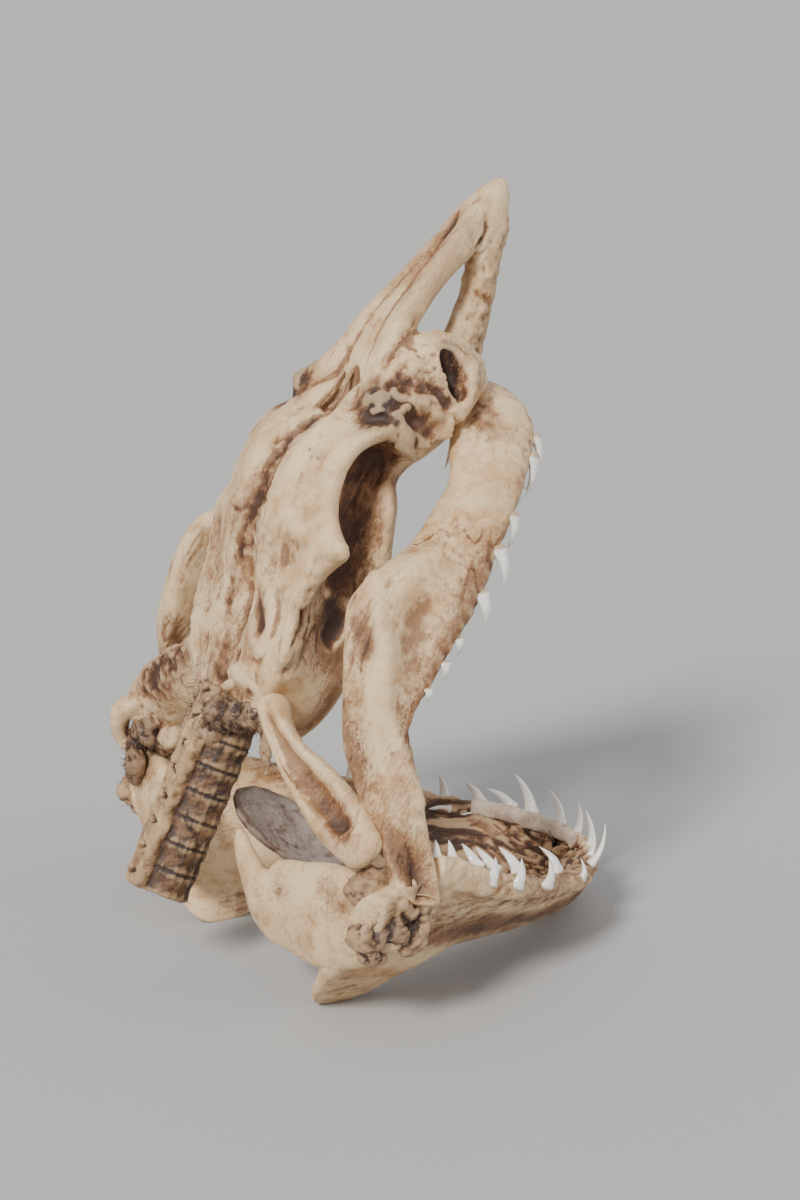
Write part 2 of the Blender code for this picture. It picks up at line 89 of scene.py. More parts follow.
# Braincase cross-sections: x, roof middle, roof swelling, crest half width, crest height, crest thickness,
# waist half width, waist height, base half width, base edge height, base middle height
BRAINCASE = (
    (35, 46, 46, 22, 40, 12, 22, 26, 18, 12, 8),
    (48, 48, 50, 36, 46, 12, 37, 28, 28, 10, 3),
    (68, 52, 57, 49, 53, 10, 43, 32, 38, 11, 1),
    (90, 56, 64, 49, 59, 9, 40, 36, 40, 12, 1),
    (108, 67, 71, 52, 62, 9, 36, 39, 39, 12, 3),
    (120, 76, 77, 58, 61, 9, 28, 42, 37, 12, 5),
    (127, 80, 81, 63, 61, 8, 25, 44, 36, 14, 5),
    (135, 82, 84, 54, 64, 7, 23, 46, 36, 18, 7),
    (146, 83, 87, 48, 69, 7, 21, 48, 37, 24, 9),
    (160, 81, 87, 46, 72, 7, 20, 50, 38, 31, 12),
    (174, 76, 83, 47, 71, 8, 20, 50, 28, 33, 16),
    (182, 73, 79, 49, 67, 10, 24, 49, 30, 32, 17),
    (190, 69, 74, 50, 60, 22, 44, 44, 33, 28, 16),
    (200, 64, 69, 45, 57, 26, 42, 40, 32, 22, 11),
    (212, 59, 61, 34, 55, 26, 30, 37, 24, 13, 5),
    (226, 49, 49, 20, 45, 20, 18, 29, 15, 9, 2),
)

# Snout bars: x, y, z, half width, half depth
SIDE_BAR = (
    (192, 36, 60, 12, 8),
    (206, 26, 62, 9, 8.5),
    (220, 19, 62.5, 8, 7),
    (240, 13.5, 60.5, 7.4, 6.6),
    (260, 10.4, 56.6, 6.6, 6.4),
    (280, 8, 51.4, 6.0, 6.6),
    (298, 6, 45.5, 5.6, 8),
    (312, 4.5, 42.5, 4.8, 8),
    (325, 2.5, 40, 3.4, 6),
)
MIDDLE_BAR = (
    (218, 0, 12, 12, 10),
    (238, 0, 12.5, 9.5, 12.5),
    (256, 0, 16.5, 8.2, 11),
    (274, 0, 20, 7.6, 9.4),
    (288, 0, 24.6, 7.8, 9.0),
    (300, 0, 29.4, 8.2, 9.4),
    (312, 0, 33.6, 8.2, 9),
    (322, 0, 36.5, 6.5, 7),
)
SNOUT_TIP = (
    (299, 0, 41.5, 9.6, 10),
    (311, 0, 38.5, 9.4, 13),
    (322, 0, 38.5, 8, 10.6),
    (330.5, 0, 38.5, 5.8, 7),
    (335, 0, 38.7, 3, 3.4),
)
SNOUT_WEB = (
    (212, 0, 58, 20, 7),
    (226, 0, 60, 17, 7),
    (244, 0, 59, 13, 7),
    (262, 0, 55.5, 10, 7),
    (280, 0, 50.5, 8, 7),
    (298, 0, 45, 6, 7),
)

# Corners of one side's nose capsule and of the cheek behind it, and the cheek's lower spur
NOSE = (
    (250, 18, 44), (252, 24, 32), (247, 32, 20), (238, 34, 13), (222, 28, 11), (204, 16, 14),
    (242, 38, 44), (240, 46, 32), (226, 51, 28), (212, 50, 27), (216, 46, 50), (222, 32, 62),
    (238, 18, 60), (200, 14, 50),
)
CHEEK = (
    (232, 26, 62), (226, 40, 56), (214, 48, 48), (214, 50, 34), (203, 48, 26), (198, 40, 30),
    (188, 44, 48), (190, 38, 68), (202, 40, 66), (212, 30, 68), (192, 20, 70), (196, 16, 40),
)
CHEEK_SPUR = (
    (198, 42, 58, 8, 8),
    (191, 46, 52, 5.5, 6),
    (186, 47, 45, 3, 3.4),
    (182.5, 47, 40, 1, 1),
)
NOSE_PITCH = math.radians(-35)

# Jaw blades from the hinge to the front: tooth edge, far edge, half thickness at each, ridge, ridge place
UPPER_JAW = (
    ((2, 134, -24), (0, 130, 0), 9, 9, 0, 0),
    ((14, 130, -18), (8, 122, 3), 8, 8, 0, 0),
    ((26, 126, -10), (19, 111, 10), 7, 8, 1, 0),
    ((40, 121, 0), (31, 102, 22), 6, 7, 3, -0.2),
    ((52, 117, 10), (48, 94, 35), 5.5, 6, 4, -0.2),
    ((64, 115, 18), (66, 90, 44), 5, 7.5, 5, 0),
    ((84, 111, 17), (86, 87, 53), 5, 8.5, 6, 0.1),
    ((106, 105, 12), (105, 82, 59), 6, 8.5, 5, 0.4),
    ((130, 98, 6), (124, 79, 52), 7, 7.5, 4, 0.4),
    ((154, 89, 1), (142, 66, 34), 8, 6, 3, 0.2),
    ((178, 77, -5), (164, 57, 24), 9, 8, 2, 0),
    ((200, 65, -11), (185, 48, 18), 10, 11, 1, 0),
    ((218, 52, -16), (205, 36, 20), 12, 13, 1, 0),
    ((229, 38, -19), (222, 24, 18), 12, 13, 0, 0),
    ((234, 20, -20), (232, 10, 9), 10, 11, 0, 0),
    ((233, 0.4, -20), (234, 0.4, 4), 8.5, 9, 0, 0),
)
LOWER_JAW = (
    ((-8, 132, 82), (-14, 114, 50), 8, 8, 0, 0),
    ((10, 130, 85), (-12, 84, 24), 8, 6, 4, -0.2),
    ((28, 125, 80), (-4, 63, 4), 7, 5.5, 5, -0.1),
    ((50, 119, 71), (20, 59, 0), 6.5, 5.5, 5, 0),
    ((76, 112, 61), (48, 56, 13), 6.5, 6, 4, 0),
    ((104, 101, 52), (80, 51, 15), 7, 7, 4, 0),
    ((132, 86, 45), (110, 44, 12), 7.5, 7, 3, 0),
    ((158, 67, 40), (140, 34, 8), 8, 8, 2, 0),
    ((178, 46, 37), (163, 21, 3), 8, 9, 1, 0),
    ((191, 24, 35), (179, 11, 0), 8.5, 9, 0, 0),
    ((195.5, 0.4, 35), (185, 0.4, -1), 8.5, 9, 0, 0),
)

# Bars of the hyoid arch: x, y, z, half width, half depth
HYOMANDIBULA = (
    (48, 42, 44, 8, 8),
    (41, 53, 44, 7.5, 7.5),
    (32, 68, 40, 9, 7),
    (24, 85, 31, 12, 6.5),
    (15, 102, 20, 13, 7),
    (9, 113, 12, 10.5, 8),
)
CERATOHYAL = (
    (4, 124, 66, 9, 14),
    (-3, 112, 63, 11, 21),
    (-8, 96, 60, 10, 25),
    (-12, 78, 56, 9, 25),
    (-14, 60, 54, 8, 23),
    (-17, 46, 52, 7, 19),
    (-19, 38, 54, 5.5, 15),
)
HYOID_HORN = (
    (-18, 42, 48, 7, 10),
    (-20, 35, 62, 6, 9),
    (-23, 30, 76, 4.2, 6),
    (-24, 28, 85, 2.4, 3),
)
LEFT_STRUT = (
    (56, 40, 40, 15, 8),
    (48, 54, 36, 17, 7.5),
    (40, 70, 32, 18, 7),
    (30, 88, 27, 18, 6.5),
    (20, 102, 22, 15, 6.5),
    (12, 110, 19, 12, 7),
)
LEFT_RIM = (
    (-6, 117, 15, 4.5, 4.5),
    (0, 119, 22, 5.4, 5.4),
    (9, 116, 28, 6, 6),
    (18, 107, 26, 6, 6),
    (22, 98, 18, 5.4, 5.4),
    (22, 90, 10, 4, 4),
)
LEFT_TISSUE = (
    ((-8, 106, 97), (10, 10, 10)),
    ((-13, 113, 87), (7, 8, 11)),
    ((0, 98, 92), (9, 9, 9)),
    ((-12, 112, 74), (8, 10, 10)),
    ((-18, 104, 80), (6, 8, 10)),
)

SPINE_TOP = np.array((-12.0, 0.0, 134.0))
SPINE_END = np.array((-54.0, 0.0, 49.0))
SPINE_LENGTH = np.linalg.norm(SPINE_END - SPINE_TOP)
SPINE_AXIS = (SPINE_END - SPINE_TOP) / SPINE_LENGTH
SPINE_BACK = np.array((SPINE_AXIS[2], 0.0, -SPINE_AXIS[0]))
CENTRA = 7
CENTRUM_RADIUS = 14.4
ARCH_OFFSET = 15.5
ARCH = (7.2, 4.8)

# Dried tissue about the neck and over the brain opening: x, y, z, half width, half depth
NECK_LUMPS = (
    ((-22, -6, 138), (9, 9, 10)),
    ((-17, -15, 138), (8, 8, 9)),
    ((-14, -24, 140), (6, 6, 8)),
    ((-21, 7, 138), (8, 9, 9)),
    ((-14, 16, 144), (7, 8, 7)),
    ((-26, -1, 128), (8, 11, 8)),
)
NECK_STRANDS = (
    ((-10, -24, 150, 4, 4), (-11, -28, 145, 3, 3), (-12, -32, 132, 2.6, 2.6), (-12, -34, 120, 3.4, 3),
     (-13, -35, 113, 2, 2)),
    ((-6, 34, 166, 4.5, 3.5), (-10, 32, 158, 3.4, 3), (-14, 29, 148, 2.6, 2.6), (-20, 22, 137, 2.4, 2.4),
     (-28, 14, 124, 2, 2)),
    ((-12, 12, 150, 4, 4), (-22, 15, 141, 3, 3), (-30, 12, 128, 3, 3), (-36, 9, 114, 2.4, 2.4)),
)
OPENING_RIM = (
    (-20, 2, 143, 3, 3),
    (-17, -5, 150, 3.2, 3),
    (-13, -12, 154, 3.4, 3),
    (-9, -18, 153, 3.4, 3),
    (-8, -24, 147, 2.6, 3),
)
ROOF_STRANDS = (
    ((190, -9, 72, 1.8, 1), (198, -4, 67, 0.9, 0.7), (207, 2, 64, 0.8, 0.7), (216, 5, 62, 1.6, 1)),
    ((189, 2, 73, 1.5, 1), (199, 5, 68, 0.8, 0.6), (211, 8, 65, 1.4, 1)),
)

# Hollows cut into the braincase: middle and radii in the skull frame
FONTANELLE = ((203, 0, 70), (15, 9, 12))
EAR_FOSSA = ((91, -7, 66), (14, 7, 10))
REAR_PIT = ((62, -5, 58), (7, 6, 9))
FORAMEN_MAGNUM = ((33, 0, 36), (13, 9, 8))
NOSTRIL = ((231, 47, 40), (16, 15, 6))
SIDE_HOLLOW = ((98, 44, 31), (15, 8, 7))

HYOID_PLATE = ((17, 0, 67), (38, 21, 3.6))
HYOID_PLATE_TURN = (math.radians(37), math.radians(34), 0)
LIGAMENT = (
    ((4, 121, 66), (15, 13, 14)),
    ((-9, 122, 60), (10, 10, 10)),
    ((-7, 123, 50), (7, 7, 5)),
    ((12, 124, 58), (9, 8, 11)),
    ((18, 123, 73), (10, 9, 13)),
    ((-3, 114, 79), (12, 12, 9)),
    ((0, 112, 58), (14, 12, 13)),
    ((4, 130, 71), (6, 4, 8)),
    ((-5, 129, 67), (7, 4, 5)),
    ((14, 130, 64), (5, 4, 9)),
)

# Teeth: side (1 left, -1 right), place along the row from the front, then in mm how far the root stands
# to the camera's right, up and inwards of the margin, height, width, and the lean to the camera's right
LOWER_TEETH = (
    (-1, 0.25, 0, 0, 0, 22, 7.5, 0.58),
    (-1, 0.20, -2, -1, 1, 18, 7, 0.36),
    (-1, 0.12, -1, -1, 0, 21, 8.5, 0.10),
    (-1, 0.03, 0, -1, 0, 18.5, 7.5, 0.26),
    (1, 0.025, 0, 1, 0, 20, 9.5, -0.10),
    (1, 0.10, -1, 2, 0, 24, 10, -0.24),
    (1, 0.155, 2, 1, 1, 18.5, 9.5, -0.86),
    (1, 0.22, 0, 0, 0, 15.5, 9.5, -0.46),
    (1, 0.30, 0, -1, 0, 14.5, 8.5, -0.10),
    (-1, 0.45, 0, 6, 3, 14.5, 8.5, -0.40),
    (-1, 0.62, 1, 8, 3, 14.5, 8.5, -0.56),
    (-1, 0.69, 0, 7.5, 3, 14, 8, -0.66),
    (-1, 0.75, 1.5, 8, 3, 13, 7.5, -0.60),
    (-1, 0.82, 0, 10.5, 1, 8.5, 6, -0.1),
    (-1, 0.87, 1, 10.5, 1, 7.5, 5.5, 0.0),
    (-1, 0.385, 0, 0, -3, 10, 8, 0.42),
    (-1, 0.55, 0.5, 2.5, -4, 12.5, 8.5, 0.42),
    (-1, 0.65, 0.5, 3, -4, 13, 8.5, 0.44),
    (-1, 0.725, 0, 3.5, -4, 12, 8.5, 0.48),
    (1, 0.37, 0, 0, 0, 12.5, 8, -0.1),
    (1, 0.44, 0, 0, 0, 12, 7.5, -0.2),
    (1, 0.505, 0, 0, 0, 10.5, 6.5, -0.1),
    (1, 0.56, 0, 0, 0, 10, 6, -0.3),
    (1, 0.61, 0, 0, 0, 9, 6, -0.2),
    (1, 0.655, 0, 0, 0, 8, 5.5, -0.2),
    (1, 0.70, 0, 0, 0, 7, 5, -0.2),
    (1, 0.19, -1, -4, 7, 15, 6, -5.0),
    (1, 0.275, 0, -3, 11, 12, 6.5, -5.0),
    (1, 0.34, 0, -3, 11, 11, 6, -4.0),
)
UPPER_TEETH = (
    (-1, 0.165, 1.0, 0, -2, 20, 9, 0.12),
    (-1, 0.215, 0.6, 0, -2, 21, 9, -0.10),
    (-1, 0.26, 0, -2, 2, 10, 7, -0.10),
    (-1, 0.335, 1.2, 0, 0, 15, 8.5, 0.06),
    (-1, 0.41, 1, 1, 0, 18, 10, 0.34),
    (-1, 0.495, 1, 1, 0, 15, 9.5, 0.38),
    (-1, 0.575, 0.6, 0, 0, 7, 6, 0.2),
    (-1, 0.62, 0.4, 0, 0, 8, 6, 0.1),
    (-1, 0.67, -0.5, 0.5, 0, 6, 5, 0.1),
    (-1, 0.03, 0, 0, 0, 19, 8, 0.0),
    (-1, 0.10, 1, 0, 0, 20, 8, 0.0),
    (1, 0.03, 0, 0, 0, 19, 8, -0.1),
    (1, 0.10, 0, -6, 0, 27, 9, -0.15),
    (1, 0.18, 0, 0, 0, 20, 8, 0.05),
    (1, 0.255, 1, -3, 0, 22, 9.5, 0.22),
    (1, 0.32, 0, 0, 0, 16, 8, 0.2),
    (1, 0.40, 0, 0, 0, 14, 7.5, 0.2),
    (1, 0.48, 0, 0, 0, 12, 7, 0.2),
    (1, 0.55, 0, 0, 0, 10, 6.5, 0.2),
    (1, 0.62, 0, 0, 0, 8.5, 6, 0.2),
    (1, 0.67, 0, 0, 0, 7, 5, 0.2),
)

# The middle of the mouth at each row, towards which teeth face
LOWER_MOUTH = (80, 0, 40)
UPPER_MOUTH = (120, 0, 20)

# Shreds: the piece they stand on, how many to a square metre where it is darkest, and their length in mm
SHREDS = (
    ("hinge_tissue_left", 130000.0, 4.5),
    ("hinge_tissue_right", 130000.0, 4.5),
    ("neck_tissue", 260000.0, 5.5),
    ("left_joint_tissue", 200000.0, 5.0),
    ("backbone", 90000.0, 4.0),
)

# How far the ridge of gum stands over the right lower jaw at places along it, and how deep it is sunk
MARGIN_RISE = (
    (0.34, 0.5), (0.40, 2.5), (0.46, 5), (0.54, 6.5), (0.62, 7.5),
    (0.69, 8), (0.75, 9.5), (0.81, 12), (0.865, 12.5),
)
MARGIN_HALF_WIDTH = 4.2
MARGIN_ROOT = 2

# The band of gum inside the front teeth: side and place along the row, its distance from the margin,
# and its half width and half depth
GUM_PLACES = ((1, 0.22), (1, 0.17), (1, 0.12), (1, 0.07), (1, 0.02), (-1, 0.04), (-1, 0.08))
GUM_INSET = 8.5
GUM_SECTION = (2.8, 4.4)


def level(points):
    """Points that are already in the level frame."""
    return np.asarray(points, float)


def in_skull(points):
    """Points of the skull frame, tipped up by the gape about the jaw hinge."""
    points = np.asarray(points, float)
    x, y, z = points[..., 0], points[..., 1], points[..., 2]
    tipped_x = x * math.cos(GAPE) - z * math.sin(GAPE)
    tipped_z = x * math.sin(GAPE) + z * math.cos(GAPE) + HINGE_HEIGHT
    return np.stack([tipped_x, y, tipped_z], axis=-1)


def unit(vector):
    return vector / max(np.linalg.norm(vector), 1e-9)


def even_turns(count):
    """Angles at even steps around one full turn."""
    return np.linspace(0, 2 * math.pi, count, endpoint=False)


def smooth_rows(rows, count):
    """Rows of numbers read at even steps from a smooth curve through the rows given."""
    rows = np.array(rows, float)
    steps = np.linalg.norm(np.diff(rows[:, :3], axis=0), axis=1)
    at = np.concatenate([[0], np.cumsum(steps)])
    slopes = np.gradient(rows, at, axis=0)
    where = np.linspace(0, at[-1], count)
    index = np.clip(np.searchsorted(at, where, side="right") - 1, 0, len(at) - 2)
    span = (at[index + 1] - at[index])[:, None]
    t = (where - at[index])[:, None] / span
    first, last = rows[index], rows[index + 1]
    return (
        first * (1 + 2 * t) * (1 - t) ** 2
        + last * t * t * (3 - 2 * t)
        + slopes[index] * span * t * (1 - t) ** 2
        - slopes[index + 1] * span * t * t * (1 - t)
    )


def lumps(points, size, seed):
    """Smooth noise between -1 and 1 whose lumps are about the given size."""
    at = np.asarray(points, float) / size + seed * 7.31
    cell = np.floor(at).astype(np.int64)
    part = at - cell
    part = part * part * (3 - 2 * part)
    total = np.zeros(len(at))
    for corner in np.ndindex(2, 2, 2):
        key = cell + np.array(corner)
        code = key[:, 0] * 73856093 ^ key[:, 1] * 19349663 ^ key[:, 2] * 83492791 ^ seed * 2654435
        code = (code ^ (code >> 13)) * 1274126177 & 0xFFFFFFFF
        code = (code ^ (code >> 16)) & 0xFFFF
        share = np.prod(np.where(corner, part, 1 - part), axis=1)
        total += share * (code / 32767.5 - 1)
    return total


def layered(points, size, seed, layers=4):
    """Noise with finer and weaker lumps laid over coarse ones."""
    total = np.zeros(len(points))
    for layer in range(layers):
        total += lumps(points, size / 2**layer, seed + layer) / 2**layer
    return total / 1.6


def nearness(points, line, reach):
    """1 on a line of points, fading to 0 over the reach."""
    line = np.array(line, float).reshape(-1, 3)
    if len(line) == 1:
        line = np.vstack([line, line + 0.001])
    best = np.full(len(points), 1e9)
    for start, end in zip(line[:-1], line[1:]):
        span = end - start
        t = np.clip(((points - start) @ span) / (span @ span), 0, 1)
        best = np.minimum(best, np.linalg.norm(points - start - t[:, None] * span, axis=1))
    return np.exp(-((best / reach) ** 2))


def linked(name, data):
    """A new object of the scene, made of a mesh, light or camera."""
    obj = bpy.data.objects.new(name, data)
    bpy.context.scene.collection.objects.link(obj)
    return obj


def new_object(name, points, faces):
    mesh = bpy.data.meshes.new(name)
    mesh.from_pydata(np.asarray(points).tolist(), [], faces)
    return linked(name, mesh)


def face_outwards(obj):
    work = bmesh.new()
    work.from_mesh(obj.data)
    bmesh.ops.recalc_face_normals(work, faces=work.faces)
    work.to_mesh(obj.data)
    work.free()


def rounded_ends(grid, first_dome, last_dome, steps):
    """Adds shrinking rings to both ends of a grid of rings, which round them off or close them flat."""
    ends = []
    for edge, inner, dome in ((grid[0], grid[2], first_dome), (grid[-1], grid[-3], last_dome)):
        middle = edge.mean(0)
        ahead = unit(middle - inner.mean(0))
        reach = np.linalg.norm(edge - middle, axis=1).min()
        rings = []
        for turn in np.linspace(0, 0.495 * math.pi, steps + 1)[1:]:
            rings.append(middle + (edge - middle) * math.cos(turn) + ahead * reach * dome * math.sin(turn))
        ends.append(rings)
    return np.concatenate([ends[0][::-1], grid, ends[1]])


def skin(name, grid, first_dome=0.35, last_dome=0.35, local=None):
    """A closed skin over a grid of rings. Local places, if given, are stored for the piece's painter."""
    steps = 7
    grid = rounded_ends(np.asarray(grid, float), first_dome, last_dome, steps)
    rows, sides = grid.shape[:2]
    place = np.arange(rows * sides).reshape(rows, sides)
    after = np.roll(place, -1, axis=1)
    quads = np.stack([place[:-1], after[:-1], after[1:], place[1:]], axis=-1).reshape(-1, 4)
    faces = quads.tolist() + [place[0].tolist(), place[-1][::-1].tolist()]
    obj = new_object(name, grid.reshape(-1, 3), faces)
    face_outwards(obj)
    if local is not None:
        local = np.concatenate([np.repeat(local[:1], steps, 0), local, np.repeat(local[-1:], steps, 0)])
        keep_values(obj, "local", local.reshape(-1, 3))
    return obj


def read_vectors(items, name, kind=float):
    values = np.empty(len(items) * 3, kind)
    items.foreach_get(name, values)
    return values.reshape(-1, 3)


def read_points(obj):
    return read_vectors(obj.data.vertices, "co")


def read_normals(obj):
    return read_vectors(obj.data.vertices, "normal")


def read_local(obj):
    return read_vectors(obj.data.attributes["local"].data, "vector", np.float32).astype(float)


def write_points(obj, points):
    obj.data.vertices.foreach_set("co", np.ascontiguousarray(points, dtype=np.float32).ravel())
    obj.data.update()


def keep_values(obj, name, values):
    """Stores three numbers at each point of the mesh, which its material reads."""
    attribute = obj.data.attributes.new(name, "FLOAT_VECTOR", "POINT")
    attribute.data.foreach_set("vector", np.ascontiguousarray(values, dtype=np.float32).ravel())


def applied(obj):
    """Bakes the modifiers of obj into its mesh."""
    graph = bpy.context.evaluated_depsgraph_get()
    made = bpy.data.meshes.new_from_object(obj.evaluated_get(graph))
    obj.modifiers.clear()
    obj.data = made
    return obj


def joined(obj, others, operation="UNION"):
    """Joins the others to obj, or cuts them out of it, and removes them."""
    group = bpy.data.collections.new("operands")
    for other in others:
        group.objects.link(other)
    modifier = obj.modifiers.new("join", "BOOLEAN")
    modifier.operation = operation
    modifier.operand_type = "COLLECTION"
    modifier.collection = group
    modifier.solver = "MANIFOLD"
    applied(obj)
    for other in others:
        bpy.data.objects.remove(other)
    bpy.data.collections.remove(group)
    return obj


def fused(obj, size=FINE, smoothing=4):
    """Gives obj one even skin of small cells, without seams between its parts."""
    remesh = obj.modifiers.new("even", "REMESH")
    remesh.mode = "VOXEL"
    remesh.voxel_size = size
    smooth = obj.modifiers.new("smooth", "SMOOTH")
    smooth.factor = 0.5
    smooth.iterations = smoothing
    return applied(obj)


def neighbour_mean(points, edges, counts):
    total = np.zeros_like(points)
    for column in range(points.shape[1]):
        weights = points[:, column]
        total[:, column] = np.bincount(edges[:, 0], weights[edges[:, 1]], len(points))
        total[:, column] += np.bincount(edges[:, 1], weights[edges[:, 0]], len(points))
    return total / counts


def hollowness(obj, small=12, large=60, broad_share=0.35):
    """How deep in mm each point lies in small and in broad hollows, which the materials paint as shade.
    Edges and bumps are negative.
    """
    points = read_points(obj)
    edges = np.empty(len(obj.data.edges) * 2, np.int64)
    obj.data.edges.foreach_get("vertices", edges)
    edges = edges.reshape(-1, 2)
    counts = np.bincount(edges.ravel(), minlength=len(points))[:, None].clip(1)
    normals = read_normals(obj)
    calm = points
    for step in range(large):
        calm = neighbour_mean(calm, edges, counts)
        if step == small:
            depth = ((calm - points) * normals).sum(1)
    return depth + broad_share * ((calm - points) * normals).sum(1)


# Each mark on a piece: lift in mm, reach in mm, brown and darkness (stains, and on some marks painted
# shade), raggedness, and the line it follows.
# A negative brown keeps the cartilage pale. Marks of the first table are on one side only.
SKULL_MARKS = (
    (0.0, 11, 0.45, 0.0, 0.6,
     ((166, -8, 86), (140, -4, 84), (122, 4, 77), (98, 10, 67), (72, 8, 58), (50, 2, 49))),
    (-0.8, 4, 0.5, 0.1, 0.8, ((112, 8, 73), (96, 6, 66), (82, 12, 62), (66, 6, 57), (52, 10, 50))),
    (0.0, 9, 0.5, 0.1, 0.8, ((60, 20, 54), (48, 12, 50), (44, -12, 50), (50, -30, 49))),
    (-2.4, 9, 0.75, 0.05, 0.9,
     ((190, -9, 73), (178, -8, 78), (164, -7, 84), (150, -6, 86), (138, -4, 85), (128, 1, 81))),
    (-1.6, 2.6, 0.5, 0.3, 0.3, ((184, -2, 75), (164, -1, 84), (150, 1, 86), (141, -1, 85), (134, 1, 83))),
    (-1.4, 2.4, 0.4, 0.2, 0.3,
     ((188, -15, 74), (172, -16, 81), (158, -14, 85), (146, -12, 86), (136, -8, 84))),
    (1.3, 2.5, -0.4, 0.0, 0.2,
     ((188, -20, 74), (178, -22, 79), (168, -23, 83), (159, -23, 84), (150, -22, 84))),
    (1.2, 2.5, -0.3, 0.0, 0.2,
     ((188, 1, 72), (181, 5, 75), (173, 8, 79), (164, 9, 83), (155, 10, 85), (141, 10, 84))),
    (-1.3, 3.2, 0.35, 0.05, 0.8,
     ((141, -9, 85), (135, -4, 82), (127, 1, 80), (121, 5, 77), (111, 11, 71), (99, 14, 66),
      (85, 14, 61))),
    (-0.5, 3.0, 0.2, 0.0, 0.6, ((134, -12, 82), (124, -6, 78), (113, 0, 71), (104, 5, 67))),
    (-0.5, 3.5, 0.2, 0.0, 0.8, ((126, 14, 79), (114, 19, 73), (100, 22, 68), (84, 22, 62))),
    (-0.4, 4.0, 0.15, 0.0, 0.8, ((124, 26, 76), (112, 29, 72), (98, 31, 67), (80, 30, 61), (66, 27, 57))),
    (0.0, 4.4, 0.55, 0.0, 0.8,
     ((116, -24, 73), (122, -26, 76), (126, -30, 76), (122, -35, 74), (114, -37, 69))),
    (-1.8, 3.5, -0.2, 0.0, 0.2, ((117, -30, 71), (112, -31, 70))),
    (1.5, 3.5, 0.0, 0.0, 0.3,
     ((103, -12, 68), (97, -25, 65), (89, -30, 62), (79, -31, 59), (73, -21, 58))),
    (-2.5, 4.5, 0.9, 0.1, 0.4, ((98, -9, 64), (91, -15, 64), (85, -21, 61), (79, -24, 60))),
    (1.8, 5.0, -0.3, 0.0, 0.9,
     ((69, -28, 57), (72, -38, 57), (63, -36, 54), (57, -22, 53), (55, -4, 52))),
    (1.0, 2.6, -0.5, 0.0, 0.6, ((47, -4, 53), (52, -13, 53), (53, -24, 52), (51, -32, 49))),
    (0.0, 1.9, 0.5, 0.5, 0.0, ((162, -34, 79),)),
    (-1.8, 2.2, 0.7, 0.35, 1.6, ((312, -7, 43), (306, -10, 39), (298, -11, 38), (291, -10, 36))),
    (0.0, 9, 0.25, 0.02, 2.0, ((312, 0, 28), (296, -4, 28), (276, -5, 18), (256, -5, 14), (240, -4, 12))),
    (-1.2, 1.7, 0.6, 0.35, 0.1,
     ((309, 3, 50), (295, 0, 52), (280, -2, 55), (266, -5, 58), (252, -8, 62), (236, -11, 65),
      (214, -14, 64))),
)
# Marks on both sides of the braincase
SKULL_SIDE_MARKS = (
    (0.0, 4.5, 0.6, 0.0, 2.4,
     ((128, 61, 61), (122, 56, 63), (116, 51, 64), (108, 49, 63), (99, 50, 61), (91, 49, 56))),
    (0.0, 4.5, 0.6, 0.05, 2.6, ((91, 49, 56), (82, 49, 52), (77, 48, 56), (71, 49, 54), (65, 48, 51))),
    # Painted shade under the overhanging crest: the side wall is browned and darkened.
    (0.0, 13, 1.2, 0.35, 0.5,
     ((176, 20, 42), (160, 22, 38), (140, 24, 38), (122, 28, 40), (104, 36, 38), (84, 40, 32))),
    # Painted shade inside the side hollow.
    (-2.5, 6, 0.4, 0.7, 0.2, ((104, 42, 36), (94, 43, 32))),
    (1.6, 2.2, -1.2, -0.7, 0.1,
     ((108, 38, 44), (112, 38, 37), (108, 38, 27), (98, 40, 24), (89, 41, 27))),
    (0.4, 12, 1.2, 0.38, 1.2, ((199, 40, 67), (206, 42, 58), (197, 46, 57), (193, 48, 50))),
    (0.0, 11, 1.0, 0.40, 0.6, ((202, 34, 68), (190, 40, 64), (186, 42, 54))),
    (2.6, 3.2, -0.3, 0.0, 0.6,
     ((190, 30, 74), (198, 34, 70), (205, 42, 62), (209, 48, 51), (208, 49, 40))),
    (-2.2, 5.0, 0.5, 0.15, 0.8, ((196, 42, 62), (199, 48, 54))),
    (-2.4, 5.0, 0.4, 0.05, 1.2, ((215, 38, 62), (219, 44, 52), (216, 47, 40))),
    # Painted shade inside the nostril.
    (0.0, 6.5, 0.8, 0.8, 0.0, ((240, 36, 44), (231, 38, 38), (222, 40, 34))),
    (0.0, 3.5, 0.5, 0.2, 2.4, ((246, 44, 50), (252, 40, 38), (244, 44, 26), (228, 50, 24))),
    (0.0, 4, 0.6, 0.4, 0.5, ((186, 47, 45), (183, 47, 41))),
    (0.6, 11, 0.35, 0.05, 3.2, ((232, 42, 54), (222, 44, 52), (216, 47, 44), (224, 47, 40))),
    (1.2, 5, -0.3, 0.0, 1.4, ((207, 46, 30), (213, 48, 31), (203, 43, 28))),
    (1.8, 2.4, -0.5, 0.0, 0.3,
     ((203, 38, 68), (210, 34, 67), (222, 30, 62), (233, 34, 57), (240, 36, 52))),
    (0.0, 7, -0.1, 0.1, 1.3, ((296, 8, 34), (285, 8, 27), (274, 7, 22), (256, 8, 14), (240, 10, 10))),
    (1.0, 4, 0.5, 0.0, 0.2, ((318, 4, 29), (300, 5, 20), (284, 4, 12), (262, 3, 6), (244, 3, 1))),
    (0.0, 6, 0.5, 0.05, 0.2, ((300, 9, 50), (290, 12, 51), (276, 14, 53), (262, 16, 56))),
    (0.0, 6, 0.6, 0.1, 0.3, ((250, 20, 60), (236, 24, 62), (222, 30, 62))),
)

